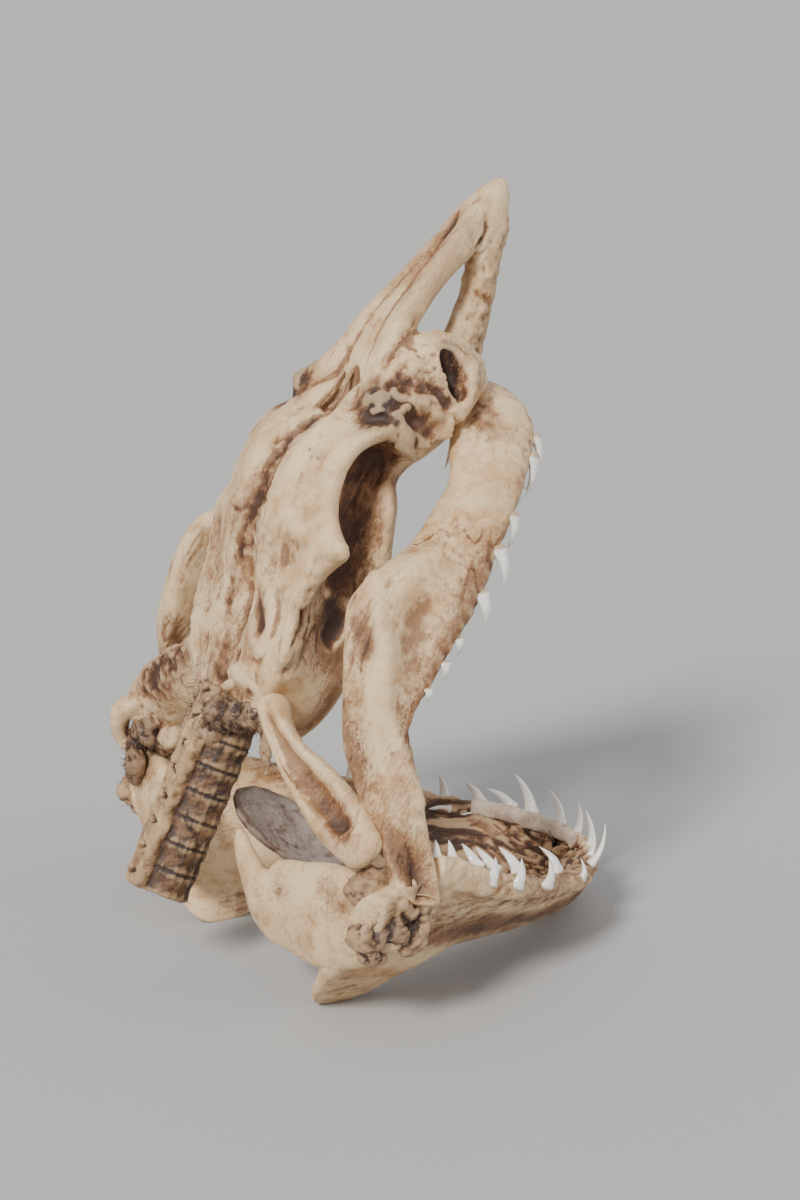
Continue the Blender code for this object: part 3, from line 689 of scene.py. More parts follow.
# Marks on the outer and inner faces of an upper jaw half
UPPER_JAW_MARKS = (
    (2.2, 4.5, -0.2, 0.0, 0.2,
     ((122, 84, 54), (110, 96, 52), (97, 103, 47), (80, 108, 40), (68, 111, 33), (57, 117, 20),
      (40, 122, 3))),
    (-2.2, 10, -0.1, 0.0, 0.1, ((122, 94, 34), (104, 106, 32), (86, 111, 24), (72, 115, 18))),
    (0.0, 5, 0.9, 0.0, 0.6, ((96, 98, 54), (90, 101, 51))),
    (0.0, 7, 0.75, 0.05, 1.2,
     ((64, 115, 18), (84, 111, 15), (106, 105, 10), (130, 98, 4), (154, 89, -1))),
    (0.0, 6, 0.35, 0.0, 0.6,
     ((154, 89, -1), (178, 77, -7), (200, 65, -13), (218, 52, -18), (229, 38, -21), (234, 20, -22))),
    (0.4, 9, 0.9, 0.12, 0.3, ((219, 46, 16), (214, 54, 10))),
    (0.0, 10, 0.8, 0.35, 0.5, ((228, 34, 20), (222, 44, 22))),
    (0.0, 9, 0.8, 0.25, 0.4, ((40, 100, 24), (60, 88, 44))),
    (0.0, 6, 0.5, 0.3, 0.6, ((20, 118, 12), (8, 130, 2))),
)
LOWER_JAW_MARKS = (
    (-1.2, 12, 0.85, 0.12, 0.3,
     ((40, 106, 42), (70, 96, 36), (100, 84, 30), (130, 70, 26), (156, 54, 22))),
    (0.0, 6, 0.4, 0.0, 0.8,
     ((50, 119, 71), (76, 112, 61), (104, 101, 52), (132, 86, 45), (158, 67, 40), (178, 46, 37))),
    (0.0, 6, 0.5, 0.0, 0.2, ((20, 62, 2), (48, 58, 8), (80, 54, 10))),
    (0.0, 12, 0.7, 0.1, 0.3, ((60, 84, 40), (100, 70, 34), (140, 46, 24))),
    (0.0, 10, 0.5, 0.5, 0.5, ((0, 128, 74), (12, 126, 68))),
)
STRUT_MARKS = (
    (-4.0, 6, 0.4, 0.05, 0.5, ((30, 62, 52), (26, 78, 44), (20, 94, 34), (14, 106, 26))),
    (0.0, 8, 0.4, 0.5, 0.5, ((12, 108, 20), (8, 116, 10))),
)
LEFT_STRUT_MARKS = (
    (-3.0, 6, 1.0, 0.8, 0.4, ((2, 112, 16), (10, 106, 14))),
    (0.6, 3, -0.4, 0.0, 0.1, ((0, 121, 24), (9, 118, 31), (18, 108, 30), (23, 98, 21))),
    (0.0, 11, 0.9, 0.35, 2.4, ((9, 97, 10),)),
    (-2.5, 8, 0.8, 0.15, 0.9, ((52, 56, 48), (42, 80, 42), (30, 96, 34))),
    (1.6, 4, 0.4, 0.0, 0.9, ((58, 60, 38), (50, 80, 28), (34, 98, 18))),
    (0.0, 16, 0.6, 0.1, 0.9, ((54, 52, 50), (24, 104, 24))),
)
HYOID_MARKS = (
    (0.0, 8, 0.6, 0.1, 0.4, ((-14, 112, 70), (-16, 96, 78))),
    (-1.5, 6, 0.4, 0.1, 0.2, ((-18, 60, 64), (-14, 52, 60))),
    (0.0, 3, 0.5, 0.1, 0.2, ((-23, 30, 84),)),
)


# Marks on the hinge tissue, on both sides, and on the tissue of the neck
KNOT_MARKS = (
    (-3.4, 2.8, 0.3, 1.0, 0.6, ((-2, 134, 68), (-8, 131, 66))),
    (-3.0, 2.4, 0.3, 1.0, 0.6, ((5, 135, 70), (9, 133, 65))),
    (-2.2, 2.4, 0.3, 1.0, 0.3, ((-13, 126, 52),)),
    (1.4, 4.0, -0.4, -0.3, 1.4, ((-10, 124, 76), (-9, 116, 80), (-2, 118, 86))),
    (0.8, 3.0, -0.5, -0.1, 0.8, ((24, 129, 80), (21, 132, 68), (15, 132, 56), (4, 131, 50))),
    (-1.8, 2.0, 0.5, 0.7, 0.4, ((16, 132, 78), (12, 134, 66), (8, 132, 56))),
    (0.0, 9, 0.6, 0.45, 0.9, ((0, 110, 88), (-2, 104, 80), (8, 118, 84))),
    (0.0, 9, 0.4, 0.25, 1.2, ((-8, 128, 62), (4, 132, 58))),
)
JOINT_MARKS = (
    (0.0, 18, 0.9, 0.75, 1.2, ((-8, 106, 97), (-12, 112, 76))),
)
MARGIN_MARKS = (
    (0.0, 5, 0.5, 0.05, 1.6, ((34, 120, 84), (60, 113, 70), (90, 104, 60), (120, 92, 52), (150, 74, 46))),
)
NECK_MARKS = (
    (0.0, 16, 0.9, 0.80, 1.6, ((-26, -6, 138), (-16, -20, 140), (-21, 9, 140))),
)


def step_between(value, low, high):
    """0 below low, 1 above high, and smooth in between."""
    t = np.clip((value - low) / (high - low), 0, 1)
    return t * t * (3 - 2 * t)


def creases(points, size, sharpness, seed):
    """Branching creases, 1 in their middle, that run where the noise crosses zero."""
    return np.exp(-((layered(points, size, seed, 3) / sharpness) ** 2))


# Squeezes the length of a piece, so that creases and streaks run along it
LENGTHWISE = (0.22, 1, 1)


def weathered(obj, marks, seed, side_marks=(), wander=0.7, grain=0.22, painter=None, blotches=0.85,
              cracks=0.5):
    """Presses a piece's marks into its skin, roughens it, and stores what its material reads, with the
    depth of its hollows for painted shade.

    Creases and streaks run lengthwise. The blotches say how unevenly brown the piece is as a whole.
    """
    points, normals = read_points(obj), read_normals(obj)
    one_side = np.abs(points * (0, 1, 0)) + points * (1, 0, 1)
    lift = layered(points, 22, seed) * wander + layered(points, 4.5, seed + 9, 3) * grain
    runs = points * LENGTHWISE
    patchy = step_between(layered(points, 34, seed + 40, 3), -0.15, 0.45)
    furrow = creases(runs, 9, 0.09, seed + 50) * patchy * cracks
    lift -= 0.9 * furrow
    stain_and_shade = 0.32 * blotches + blotches * layered(runs, 26, seed + 60, 5) + furrow
    dark = 0.3 * furrow
    ragged = layered(points, 5, seed + 20, 3)
    whole = [(points, mark) for mark in marks] + [(one_side, mark) for mark in side_marks]
    for where, (height, reach, added_stain_and_shade, darkened, raggedness, line) in whole:
        near = nearness(where, line, reach)
        lift += height * near + raggedness * ragged * near
        stain_and_shade += added_stain_and_shade * near
        dark += darkened * near
    if painter is not None:
        raised, added_stain_and_shade, darkened = painter(obj)
        lift = lift + raised
        stain_and_shade = stain_and_shade + added_stain_and_shade
        dark = dark + darkened
    write_points(obj, points + normals * lift[:, None])
    hollow = hollowness(obj)
    if obj.data.attributes.get("local") is not None:
        obj.data.attributes.remove(obj.data.attributes["local"])
    # The depth of hollows is stored for the material, which paints shade by it.
    keep_values(obj, "marks", np.stack([stain_and_shade, dark, hollow], axis=1))
    keep_values(obj, "lay", points)
    return obj


def lower_jaw_painter(obj):
    """Leathery folds on the inner face, and a fibrous band on the outer one, browned and darkened as
    painted shade.
    """
    points = read_points(obj)
    row, along, out = read_local(obj).T
    inner = step_between(-out, 0.5, 4)
    outer = step_between(out, 1, 4)
    run = np.stack([row * 40, along * 9 + 3 * lumps(points, 26, 71), out * 0.3], axis=1)
    folds = layered(run, 4.5, 51, 4)
    crease = creases(run, 6, 0.10, 55) + 0.7 * creases(run, 3, 0.12, 58)
    middle = step_between(row, 0.30, 0.5) * step_between(along, -0.95, -0.7)
    lift = inner * middle * (2.0 * folds - 1.6 * crease + 0.8)
    stain_and_shade = inner * middle * (0.75 + 0.6 * folds + 0.5 * crease)
    dark = inner * middle * (0.42 * crease - 0.35 * folds - 0.03)
    root = (1 - step_between(along, -0.93, -0.6)) * step_between(row, 0.22, 0.4)
    knobs = layered(points, 6.5, 59, 2)
    lift = lift + root * (2.2 * knobs + 0.6)
    stain_and_shade = stain_and_shade + root * (0.6 - 0.9 * knobs)
    # Painted shade on the outer face: a band browned and darkened, broken by real fibres.
    band = step_between(along, -0.8, -0.3) * (1 - step_between(along, 0.45, 0.85))
    band = band * step_between(row, 0.22, 0.4)
    fibres = layered(np.stack([row * 60, along * 20, out], axis=1), 3, 61, 3)
    stain_and_shade = stain_and_shade + outer * band * (0.55 + 0.6 * fibres)
    dark = dark + outer * band * (0.16 + 0.45 * fibres)
    lift = lift + outer * band * 0.35 * fibres
    return lift, stain_and_shade, dark


def upper_jaw_painter(obj):
    """An inner face browned a little, fibres that run square to the tooth margin, and a dented cup at the
    hinge end, browned and darkened as painted shade.
    """
    row, along, out = read_local(obj).T
    inner = step_between(-out, 0.5, 4)
    margin = (1 - step_between(along, -0.9, -0.25)) * step_between(row, 0.18, 0.3)
    margin = margin * (1 - step_between(row, 0.72, 0.85))
    fibres = layered(np.stack([row * 260, along * 7, out * 0.3], axis=1), 3, 81, 3)
    # Painted shade: the dented cup at the hinge end is browned and darkened.
    cup = (1 - step_between(row, 0.02, 0.12)) * step_between(out, 1, 5) * (1 - np.abs(along)) * 1.6
    lift = margin * fibres * 0.5 - 5 * cup
    stain_and_shade = inner * 0.1 + margin * (0.3 + 0.5 * fibres) + cup
    return lift, stain_and_shade, cup * 0.3


def settled(obj, place):
    """Moves a finished mesh from its own table frame into the row frame, in metres."""
    points = place(read_points(obj)) - np.array((MIDDLE_X, 0, 0))
    write_points(obj, points * MM)
    obj.data.shade_smooth()
    return obj


def on_side(point, side):
    """A point given for the left side, on the side asked for: 1 is left and -1 is right."""
    return (point[0], side * point[1], point[2])


def bar_grid(stations, rows, sides, across=(0, 1, 0), side=1, groove=0.0, roundness=1.0):
    """Rings of a bar with oval sections: half width along the across direction, half depth square to it.

    A groove runs along the middle of the bar's upper face, deepest in the middle of its length. A roundness
    below 1 squares the section.
    """
    table = smooth_rows(stations, rows)
    centres = table[:, :3]
    turns = even_turns(sides)[:, None]
    rings = []
    for row, values in enumerate(table):
        ahead = unit(centres[min(row + 1, rows - 1)] - centres[max(row - 1, 0)])
        wide = unit(np.asarray(across) - ahead * np.dot(across, ahead))
        deep = unit(np.cross(ahead, wide))
        trough = groove * math.sin(math.pi * min(1, 1.15 * row / rows)) ** 0.5
        dip = trough * np.exp(-((np.cos(turns) / 0.5) ** 2)) * np.clip(-np.sin(turns), 0, 1)
        swing, rise = (np.sign(turn) * np.abs(turn) ** roundness for turn in (np.cos(turns), np.sin(turns)))
        rings.append(values[:3] + wide * swing * values[3] + deep * (rise * values[4] + dip))
    return np.array(rings) * (1, side, 1)


def blade_table(stations, rows):
    """Even rows of numbers along a jaw: both edges of the blade, its thicknesses and its ridge."""
    return smooth_rows([(*tooth_edge, *far_edge, *rest) for tooth_edge, far_edge, *rest in stations], rows)


def blade_grid(stations, rows, sides, side):
    """Rings of a jaw blade between its tooth edge and its far edge, bowed outwards along a ridge.

    The second grid gives each point's place along the jaw, across the blade and through its thickness.
    """
    table = blade_table(stations, rows)
    turns = even_turns(sides)
    along = -np.cos(turns)
    rings, local = [], []
    for row, values in enumerate(table):
        tooth_edge, far_edge = values[:3], values[3:6]
        thick_tooth, thick_far, ridge, ridge_place = values[6:10]
        here, there = table[max(row - 1, 0), :6], table[min(row + 1, rows - 1), :6]
        ahead = unit(there[:3] + there[3:] - here[:3] - here[3:])
        height = far_edge - tooth_edge
        outward = unit(np.cross(ahead, height))
        if outward[1] < 0 and abs(outward[1]) > abs(outward[0]) or outward[0] < -0.5:
            outward = -outward
        thick = thick_tooth + (thick_far - thick_tooth) * (along + 1) / 2
        swell = ridge * np.exp(-(((along - ridge_place) / 0.45) ** 2))
        bulge = np.sign(np.sin(turns)) * np.abs(np.sin(turns)) ** 0.8
        swell = swell * (0.6 + 0.4 * bulge)
        inner_fill = 0.9 * ridge * np.clip(-bulge, 0, 1) * np.exp(-(((along - 0.35) / 0.45) ** 2))
        out = thick * bulge + swell - inner_fill
        middle = (tooth_edge + far_edge) / 2
        ring = middle + height * along[:, None] / 2 + outward * out[:, None]
        ring[:, 1] = np.maximum(ring[:, 1], 0.2)
        rings.append(ring)
        local.append(np.stack([np.full(sides, row / (rows - 1)), along, out - swell], axis=1))
    return np.array(rings) * (1, side, 1), np.array(local)


def braincase_grid(rows=130, half_sides=52):
    """Rings of the braincase: domed roof, overhanging crest, narrow waist, flat base."""
    rings = []
    for values in smooth_rows(BRAINCASE, rows):
        x, roof, swelling, crest, crest_z, thick, waist, waist_z, base, base_z, base_mid = values
        half = smooth_rows([
            (x, 0, roof),
            (x, 0.30 * crest, swelling),
            (x, 0.68 * crest, 0.6 * swelling + 0.4 * crest_z),
            (x, crest, crest_z + 0.5),
            (x, 0.985 * crest, crest_z - 0.35 * thick),
            (x, 0.45 * crest + 0.55 * waist, crest_z - thick),
            (x, waist, waist_z),
            (x, 0.5 * waist + 0.5 * base, 0.6 * base_z + 0.4 * waist_z),
            (x, base, base_z + 2),
            (x, 0.92 * base, base_z - 3),
            (x, 0.5 * base, 0.5 * (base_z - 3) + 0.5 * base_mid),
            (x, 0, base_mid),
        ], half_sides)
        rings.append(np.vstack([half, half[-2:0:-1] * (1, -1, 1)]))
    return np.array(rings)


def turned(angles):
    """The matrix that turns about x, then y, then z."""
    return np.array(Euler(angles).to_matrix())


def ellipsoid(name, middle, radii, turn=(0, 0, 0), rings=40, sides=48):
    """A closed ellipsoid, turned about x, then y, then z."""
    tilt = np.linspace(-0.48 * math.pi, 0.48 * math.pi, rings)[:, None]
    around = even_turns(sides)[None, :]
    x = radii[0] * np.sin(tilt) + 0 * around
    y = radii[1] * np.cos(tilt) * np.cos(around)
    z = radii[2] * np.cos(tilt) * np.sin(around)
    grid = np.stack([x, y, z], axis=-1) @ turned(turn).T + np.array(middle, float)
    return skin(name, grid, 0.1, 0.1)


def wedge(name, corners):
    """The closed solid spanned by a set of corners."""
    work = bmesh.new()
    for corner in corners:
        work.verts.new(corner)
    made = bmesh.ops.convex_hull(work, input=work.verts)
    spare = made["geom_interior"] + made["geom_unused"]
    loose = [item for item in spare if isinstance(item, bmesh.types.BMVert)]
    bmesh.ops.delete(work, geom=loose, context="VERTS")
    obj = new_object(name, [], [])
    work.to_mesh(obj.data)
    work.free()
    face_outwards(obj)
    return obj


class Flow:
    """A socket of a node tree, so that sums and products of sockets read as plain maths."""

    def __init__(self, wiring, socket):
        self.wiring = wiring
        self.socket = socket

    def maths(self, operation, first, second=0.0):
        return self.wiring.add("ShaderNodeMath", {"operation": operation}, {0: first, 1: second})

    def __add__(self, other):
        return self.maths("ADD", self, other)

    def __radd__(self, other):
        return self.maths("ADD", other, self)

    def __sub__(self, other):
        return self.maths("SUBTRACT", self, other)

    def __rsub__(self, other):
        return self.maths("SUBTRACT", other, self)

    def __mul__(self, other):
        return self.maths("MULTIPLY", self, other)

    def __rmul__(self, other):
        return self.maths("MULTIPLY", other, self)

    def over(self, low, high):
        """0 below low, 1 above high, and smooth in between."""
        settings = {"interpolation_type": "SMOOTHSTEP"}
        return self.wiring.add("ShaderNodeMapRange", settings, {0: self, 1: low, 2: high, 3: 0.0, 4: 1.0})


class Wiring:
    """A node tree and the one way in which its nodes are added."""

    def add(self, kind, settings=None, sockets=None, output=0):
        """Adds a node: its settings first, then the values or links of its sockets."""
        node = self.tree.nodes.new(kind)
        for name, value in (settings or {}).items():
            setattr(node, name, value)
        for name, value in (sockets or {}).items():
            self.feed(node.inputs[name], value)
        return Flow(self, node.outputs[output])

    def feed(self, socket, value):
        if isinstance(value, Flow):
            self.tree.links.new(value.socket, socket)
        elif socket.type == "RGBA":
            socket.default_value = (*value, 1.0)
        else:
            socket.default_value = value


class Layout(Wiring):
    """A geometry layout that sets out copies of a pattern piece."""

    def __init__(self, name):
        self.tree = bpy.data.node_groups.new(name, "GeometryNodeTree")
        self.tree.interface.new_socket("Geometry", in_out="OUTPUT", socket_type="NodeSocketGeometry")
        self.entry = self.tree.nodes.new("NodeGroupInput")
        self.exit = self.tree.nodes.new("NodeGroupOutput")

    def start(self, name, kind):
        """A named input of the layout."""
        self.tree.interface.new_socket(name, in_out="INPUT", socket_type=kind)
        return Flow(self, self.entry.outputs[name])

    def stored(self, name):
        """Three stored numbers of each point."""
        return self.add("GeometryNodeInputNamedAttribute", {"data_type": "FLOAT_VECTOR"}, {"Name": name})

    def end(self, points, turn, size):
        """Sets a copy of the input Pattern at each point, as plain mesh with the input Finish on it."""
        copied = self.start("Pattern", "NodeSocketObject")
        finish = self.start("Finish", "NodeSocketMaterial")
        shape = self.add("GeometryNodeObjectInfo", {}, {"Object": copied}, "Geometry")
        sockets = {"Points": points, "Instance": shape, "Rotation": turn, "Scale": size}
        copies = self.add("GeometryNodeInstanceOnPoints", {}, sockets)
        real = self.add("GeometryNodeRealizeInstances", {}, {"Geometry": copies})
        dressed = self.add("GeometryNodeSetMaterial", {}, {"Geometry": real, "Material": finish})
        self.tree.links.new(dressed.socket, self.exit.inputs[0])

    def run(self, obj, values):
        """Turns obj into the plain, smoothly shaded mesh that the layout gives with these inputs."""
        modifier = obj.modifiers.new("layout", "NODES")
        modifier.node_group = self.tree
        for item in self.tree.interface.items_tree:
            if item.in_out == "INPUT" and item.name in values:
                modifier[item.identifier] = values[item.name]
        applied(obj)
        obj.data.shade_smooth()
        return obj


class Finish(Wiring):
    """A material and the ways in which its patterns are made."""

    def __init__(self, name):
        self.material = bpy.data.materials.new(name)
        self.material.use_nodes = True
        self.tree = self.material.node_tree
        self.shader = self.tree.nodes["Principled BSDF"]
        self.shader.inputs["Metallic"].default_value = 0.0

    def blend(self, share, first, second):
        """A colour between two, by a share that may vary."""
        return self.add("ShaderNodeMix", {"data_type": "RGBA"}, {0: share, 6: first, 7: second}, 2)

    def noise(self, where, scale, detail=4.0, roughness=0.55, distortion=0.0):
        sockets = {
            "Vector": where,
            "Scale": scale,
            "Detail": detail,
            "Roughness": roughness,
            "Distortion": distortion,
        }
        return self.add("ShaderNodeTexNoise", {}, sockets)

    def stretched(self, where, scale):
        """The same place with each axis scaled on its own, for grain that runs one way."""
        return self.add("ShaderNodeVectorMath", {"operation": "MULTIPLY"}, {0: where, 1: scale})

    def stored(self, name):
        """Three stored numbers of the mesh, as a vector and as three values."""
        vector = self.add("ShaderNodeAttribute", {"attribute_name": name}, {}, 1)
        split = self.tree.nodes.new("ShaderNodeSeparateXYZ")
        self.tree.links.new(vector.socket, split.inputs[0])
        return vector, [Flow(self, out) for out in split.outputs]

    def dress(self, colour, roughness, height=None, strength=0.3, distance=0.3):
        self.feed(self.shader.inputs["Base Color"], colour)
        self.feed(self.shader.inputs["Roughness"], roughness)
        if height is not None:
            sockets = {"Strength": strength, "Distance": distance * MM, "Height": height}
            bump = self.add("ShaderNodeBump", {}, sockets)
            self.feed(self.shader.inputs["Normal"], bump)
        return self.material


def dried_cartilage(name, clean, warm, amber, shade, fibres=(0.22, 1.6, 1.6), gloss=0.40):
    """Dried cartilage with fibres and pores: hollows browned and darkened as painted shade, and edges and
    bumps lightened as painted highlight.
    """
    finish = Finish(name)
    place = finish.stored("lay")[0]
    stain_and_shade, dark, hollow = finish.stored("marks")[1]
    broad = finish.noise(place, 0.03, 5.0, 0.6, 0.6)
    cloud = finish.noise(place, 0.12, 6.0, 0.65, 0.8)
    streak = finish.noise(finish.stretched(place, fibres), 0.40, 6.0, 0.72, 0.4)
    flecks = finish.noise(place, 0.75, 5.0, 0.7, 0.3)
    pores = finish.noise(place, 1.9, 3.0, 0.7)
    broken = (streak - 0.5) * 1.5 + (flecks - 0.5) * 1.3 + (cloud - 0.5) * 1.0
    colour = finish.blend((broad * 0.8 + cloud * 0.45).over(0.50, 0.82), clean, warm)
    colour = finish.blend(streak.over(0.50, 0.72) * 0.40, colour, warm)
    # Painted shade: hollows turn amber by their depth.
    colour = finish.blend((hollow * 2.2 + broken * 0.7 - 0.10).over(0.0, 1.1) * 0.8, colour, amber)
    colour = finish.blend((stain_and_shade + broken - 0.10).over(0.0, 0.95) * 0.9, colour, amber)
    # Stains, and painted shade in hollows, deepen the colour towards the shade colour.
    soak_and_shade = stain_and_shade * 0.8 + hollow * 0.7 + broken * 1.1 - 0.75
    colour = finish.blend(soak_and_shade.over(0.0, 0.9) * 0.85, colour, shade)
    colour = finish.blend((dark + broken * 0.8 - 0.22).over(0.0, 0.75), colour, NEARLY_BLACK)
    colour = finish.blend(pores.over(0.60, 0.74) * 0.30, colour, shade)
    # Painted highlight: edges and bumps are lightened towards the clean colour.
    raised_highlight = (0.0 - hollow * 2.0 + (flecks - 0.5) * 1.2 - 0.35).over(0.0, 1.2)
    colour = finish.blend(raised_highlight * 0.4, colour, clean)
    roughness = gloss + cloud * 0.22 + pores * 0.14 - dark * 0.05
    height = streak * 0.7 + pores * 0.45 + flecks * 0.5
    return finish.dress(colour, roughness, height, 0.55, 0.6)


def add_piece(obj, material, *nodes):
    """Dresses a piece, fixes it to the skull, and hides the solids it stands for."""
    obj.data.materials.clear()
    obj.data.materials.append(material)
    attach(obj, "root")
    if nodes:
        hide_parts(*nodes)


def make_skull():
    """Braincase, nose and the three-barred snout, which are one cartilage."""
    skull = skin("skull", braincase_grid(), 0.1, 0.1)
    parts = [
        skin("middle", bar_grid(MIDDLE_BAR, 60, 36)),
        skin("tip", bar_grid(SNOUT_TIP, 40, 36)),
        skin("web", bar_grid(SNOUT_WEB, 60, 36)),
    ]
    for side in (1, -1):
        parts.append(skin("side", bar_grid(SIDE_BAR, 90, 40, side=side, roundness=0.75)))
        parts.append(wedge("nose", [on_side(corner, side) for corner in NOSE]))
        parts.append(wedge("cheek", [on_side(corner, side) for corner in CHEEK]))
        parts.append(skin("spur", bar_grid(CHEEK_SPUR, 30, 24, side=side)))
    joined(skull, parts)
    hollows = [ellipsoid("hollow", *shape) for shape in (FONTANELLE, EAR_FOSSA, REAR_PIT, FORAMEN_MAGNUM)]
    for side in (1, -1):
        turn = (0, NOSE_PITCH, side * math.radians(-12))
        hollows.append(ellipsoid("hollow", on_side(NOSTRIL[0], side), NOSTRIL[1], turn))
        hollows.append(ellipsoid("hollow", on_side(SIDE_HOLLOW[0], side), SIDE_HOLLOW[1]))
    joined(skull, hollows, "DIFFERENCE")
    fused(skull)
    return settled(weathered(skull, SKULL_MARKS, 3, SKULL_SIDE_MARKS), in_skull)


def make_upper_jaw(side, word):
    grid, local = blade_grid(UPPER_JAW, 300, 140, side)
    jaw = skin("upper_jaw_" + word, grid, 0.35, 0, local)
    weathered(jaw, (), 11 + side, UPPER_JAW_MARKS, painter=upper_jaw_painter, blotches=0.6)
    return settled(jaw, in_skull)


def make_lower_jaw(side, word):
    grid, local = blade_grid(LOWER_JAW, 260, 140, side)
    jaw = skin("lower_jaw_" + word, grid, 0.35, 0, local)
    weathered(jaw, (), 17 + side, LOWER_JAW_MARKS, painter=lower_jaw_painter, blotches=0.5)
    points = read_points(jaw)
    points[:, 2] = np.maximum(points[:, 2], 0)
    write_points(jaw, points)
    return settled(jaw, level)


def make_right_strut():
    """The bar from the braincase to the right hinge, with a long groove between raised edges."""
    strut = skin("jaw_strut_right", bar_grid(HYOMANDIBULA, 150, 90, (1, 0, 0), -1, 6.0), 0.6, 0.9)
    return settled(weathered(strut, (), 23, STRUT_MARKS), in_skull)


def make_left_strut():
    """The broad bar on the left, whose end curls over the hinge in a pale rim."""
    strut = skin("jaw_strut_left", bar_grid(LEFT_STRUT, 120, 90, (0.6, 0, 0.8)))
    parts = [skin("rim", bar_grid(LEFT_RIM, 80, 30, (0, 0, 1))), ellipsoid("bulge", (10, 96, 7), (8, 9, 8))]
    fused(joined(strut, parts))
    return settled(weathered(strut, LEFT_STRUT_MARKS, 24), in_skull)


def make_hyoid(side, word):
    hyoid = skin("hyoid_bar_" + word, bar_grid(CERATOHYAL, 90, 60, (1, 0, 0), side))
    joined(hyoid, [skin("horn", bar_grid(HYOID_HORN, 60, 40, (1, 0, 0), side))])
    fused(hyoid)
    return settled(weathered(hyoid, (), 29 + side, HYOID_MARKS, blotches=0.35), level)


def make_hyoid_plate():
    """The dished plate of the tongue, with a raised, browner rim."""
    middle, radii = HYOID_PLATE
    plate = ellipsoid("hyoid_plate", (0, 0, 0), radii, rings=90, sides=120)
    points = read_points(plate)
    spread = (points[:, 0] / radii[0]) ** 2 + (points[:, 1] / radii[1]) ** 2
    points[:, 2] += 5.5 * spread - 2.5
    write_points(plate, points @ turned(HYOID_PLATE_TURN).T + middle)
    rim = step_between(spread, 0.70, 0.98)

    def rim_painter(obj):
        return 0.9 * rim * layered(read_points(obj), 6, 77), rim * 0.7, 0.25 * rim

    return settled(weathered(plate, (), 31, painter=rim_painter, wander=1.2), level)


def backbone_painter(obj):
    """Dark joints, lengthwise fibres, and a crumbly strip along the back with a row of openings painted
    dark as shade.
    """
    points = read_points(obj)
    along = (points - SPINE_TOP) @ SPINE_AXIS
    back = (points - SPINE_TOP) @ SPINE_BACK
    across = points[:, 1]
    pitch = SPINE_LENGTH / CENTRA
    from_joint = (along / pitch - np.round(along / pitch)) * pitch
    from_opening = (along / pitch - 0.5 - np.round(along / pitch - 0.5)) * pitch
    strip = step_between(back, 12.5, 14.5)
    joint = np.exp(-((from_joint / 0.8) ** 2)) * (1 - strip)
    # Painted shade: each opening is a shallow dent painted near black.
    opening = np.exp(-((from_opening / 1.9) ** 2) - ((across - 2 * np.sin(along)) / 1.9) ** 2)
    opening = opening * step_between(back, 16, 18)
    edge = np.exp(-(((np.abs(across) - 8.5) / 2.2) ** 2)) * strip
    fibres = layered(np.stack([along * 0.10, back, across], axis=1), 2.4, 91, 3)
    crumbs = layered(points, 4, 93, 4)
    lift = (1 - strip) * (0.6 * fibres - 0.5 * joint) + strip * 0.7 * crumbs
    lift = lift + 1.8 * edge * crumbs - 3.2 * opening
    side = step_between(-across, 4, 9) * (1 - strip)
    stain_and_shade = (1 - strip) * (0.25 + 0.7 * fibres) + 0.8 * joint + strip * (0.25 + 0.7 * crumbs) + 0.8 * side
    dark = 0.5 * joint + 1.2 * opening + 0.5 * edge * (0.6 + crumbs) + side * (0.45 + 0.7 * crumbs)
    return lift, stain_and_shade, dark


def make_backbone():
    """Drum-shaped centra in a row, under one strip of joined neural arches."""
    across = np.array((0, 1, 0))
    turns = even_turns(90)[:, None]
    rings = []
    for t in np.linspace(0, 1, 260):
        wave = math.cos(t * CENTRA * 2 * math.pi)
        radius = CENTRUM_RADIUS - 0.5 + 0.5 * wave - 0.4 * max(0, wave - 0.93) / 0.07
        ring = radius * (across * np.cos(turns) + SPINE_BACK * np.sin(turns))
        rings.append(SPINE_TOP + (SPINE_END - SPINE_TOP) * t + ring)
    column = skin("backbone", rings, -0.15, -0.15)
    stations = []
    for t in np.linspace(-0.1, 0.975, 7):
        place = SPINE_TOP + SPINE_AXIS * SPINE_LENGTH * t + SPINE_BACK * ARCH_OFFSET
        stations.append((*place, *ARCH))
    joined(column, [skin("arch", bar_grid(stations, 120, 60, roundness=0.65))])
    fused(column, 0.8, 2)
    return settled(weathered(column, (), 37, painter=backbone_painter), level)


def make_knot(side, word):
    """The dried lump of ligament that holds one hinge."""
    parts = [ellipsoid("lump", on_side(middle, side), radii) for middle, radii in LIGAMENT]
    knot = joined(parts.pop(0), parts)
    knot.name = "hinge_tissue_" + word
    fused(knot, 0.9)
    return settled(weathered(knot, (), 41 + side, KNOT_MARKS, 3.0, 2.4, cracks=1.2), level)


def make_tissue(name, lumps_of, strands, marks, seed):
    """Dark crumbly tissue made of lumps grown together, with hanging strands."""
    parts = [ellipsoid("lump", middle, radii, rings=24, sides=30) for middle, radii in lumps_of]
    parts += [skin("strand", bar_grid(strand, 40, 16)) for strand in strands]
    tissue = joined(parts.pop(0), parts)
    tissue.name = name
    fused(tissue, 0.8, 1)
    return settled(weathered(tissue, marks, seed, (), 1.8, 1.6, cracks=1.0), level)


def make_cord(name, stations, place, seed, wander=0.5, grain=0.4):
    """A length of dried tissue along a path."""
    cord = skin(name, bar_grid(stations, 90, 28))
    return settled(weathered(cord, (), seed, (), wander, grain), place)


def margin_point(stations, fraction):
    """The middle of the tooth edge at a fraction of the way from the front of the mouth to the hinge."""
    steps = 80
    table = blade_table(stations, steps + 1)
    place = (1 - fraction) * steps
    low = min(int(place), steps - 1)
    here = table[low] + (table[low + 1] - table[low]) * (place - low)
    return here[:3]


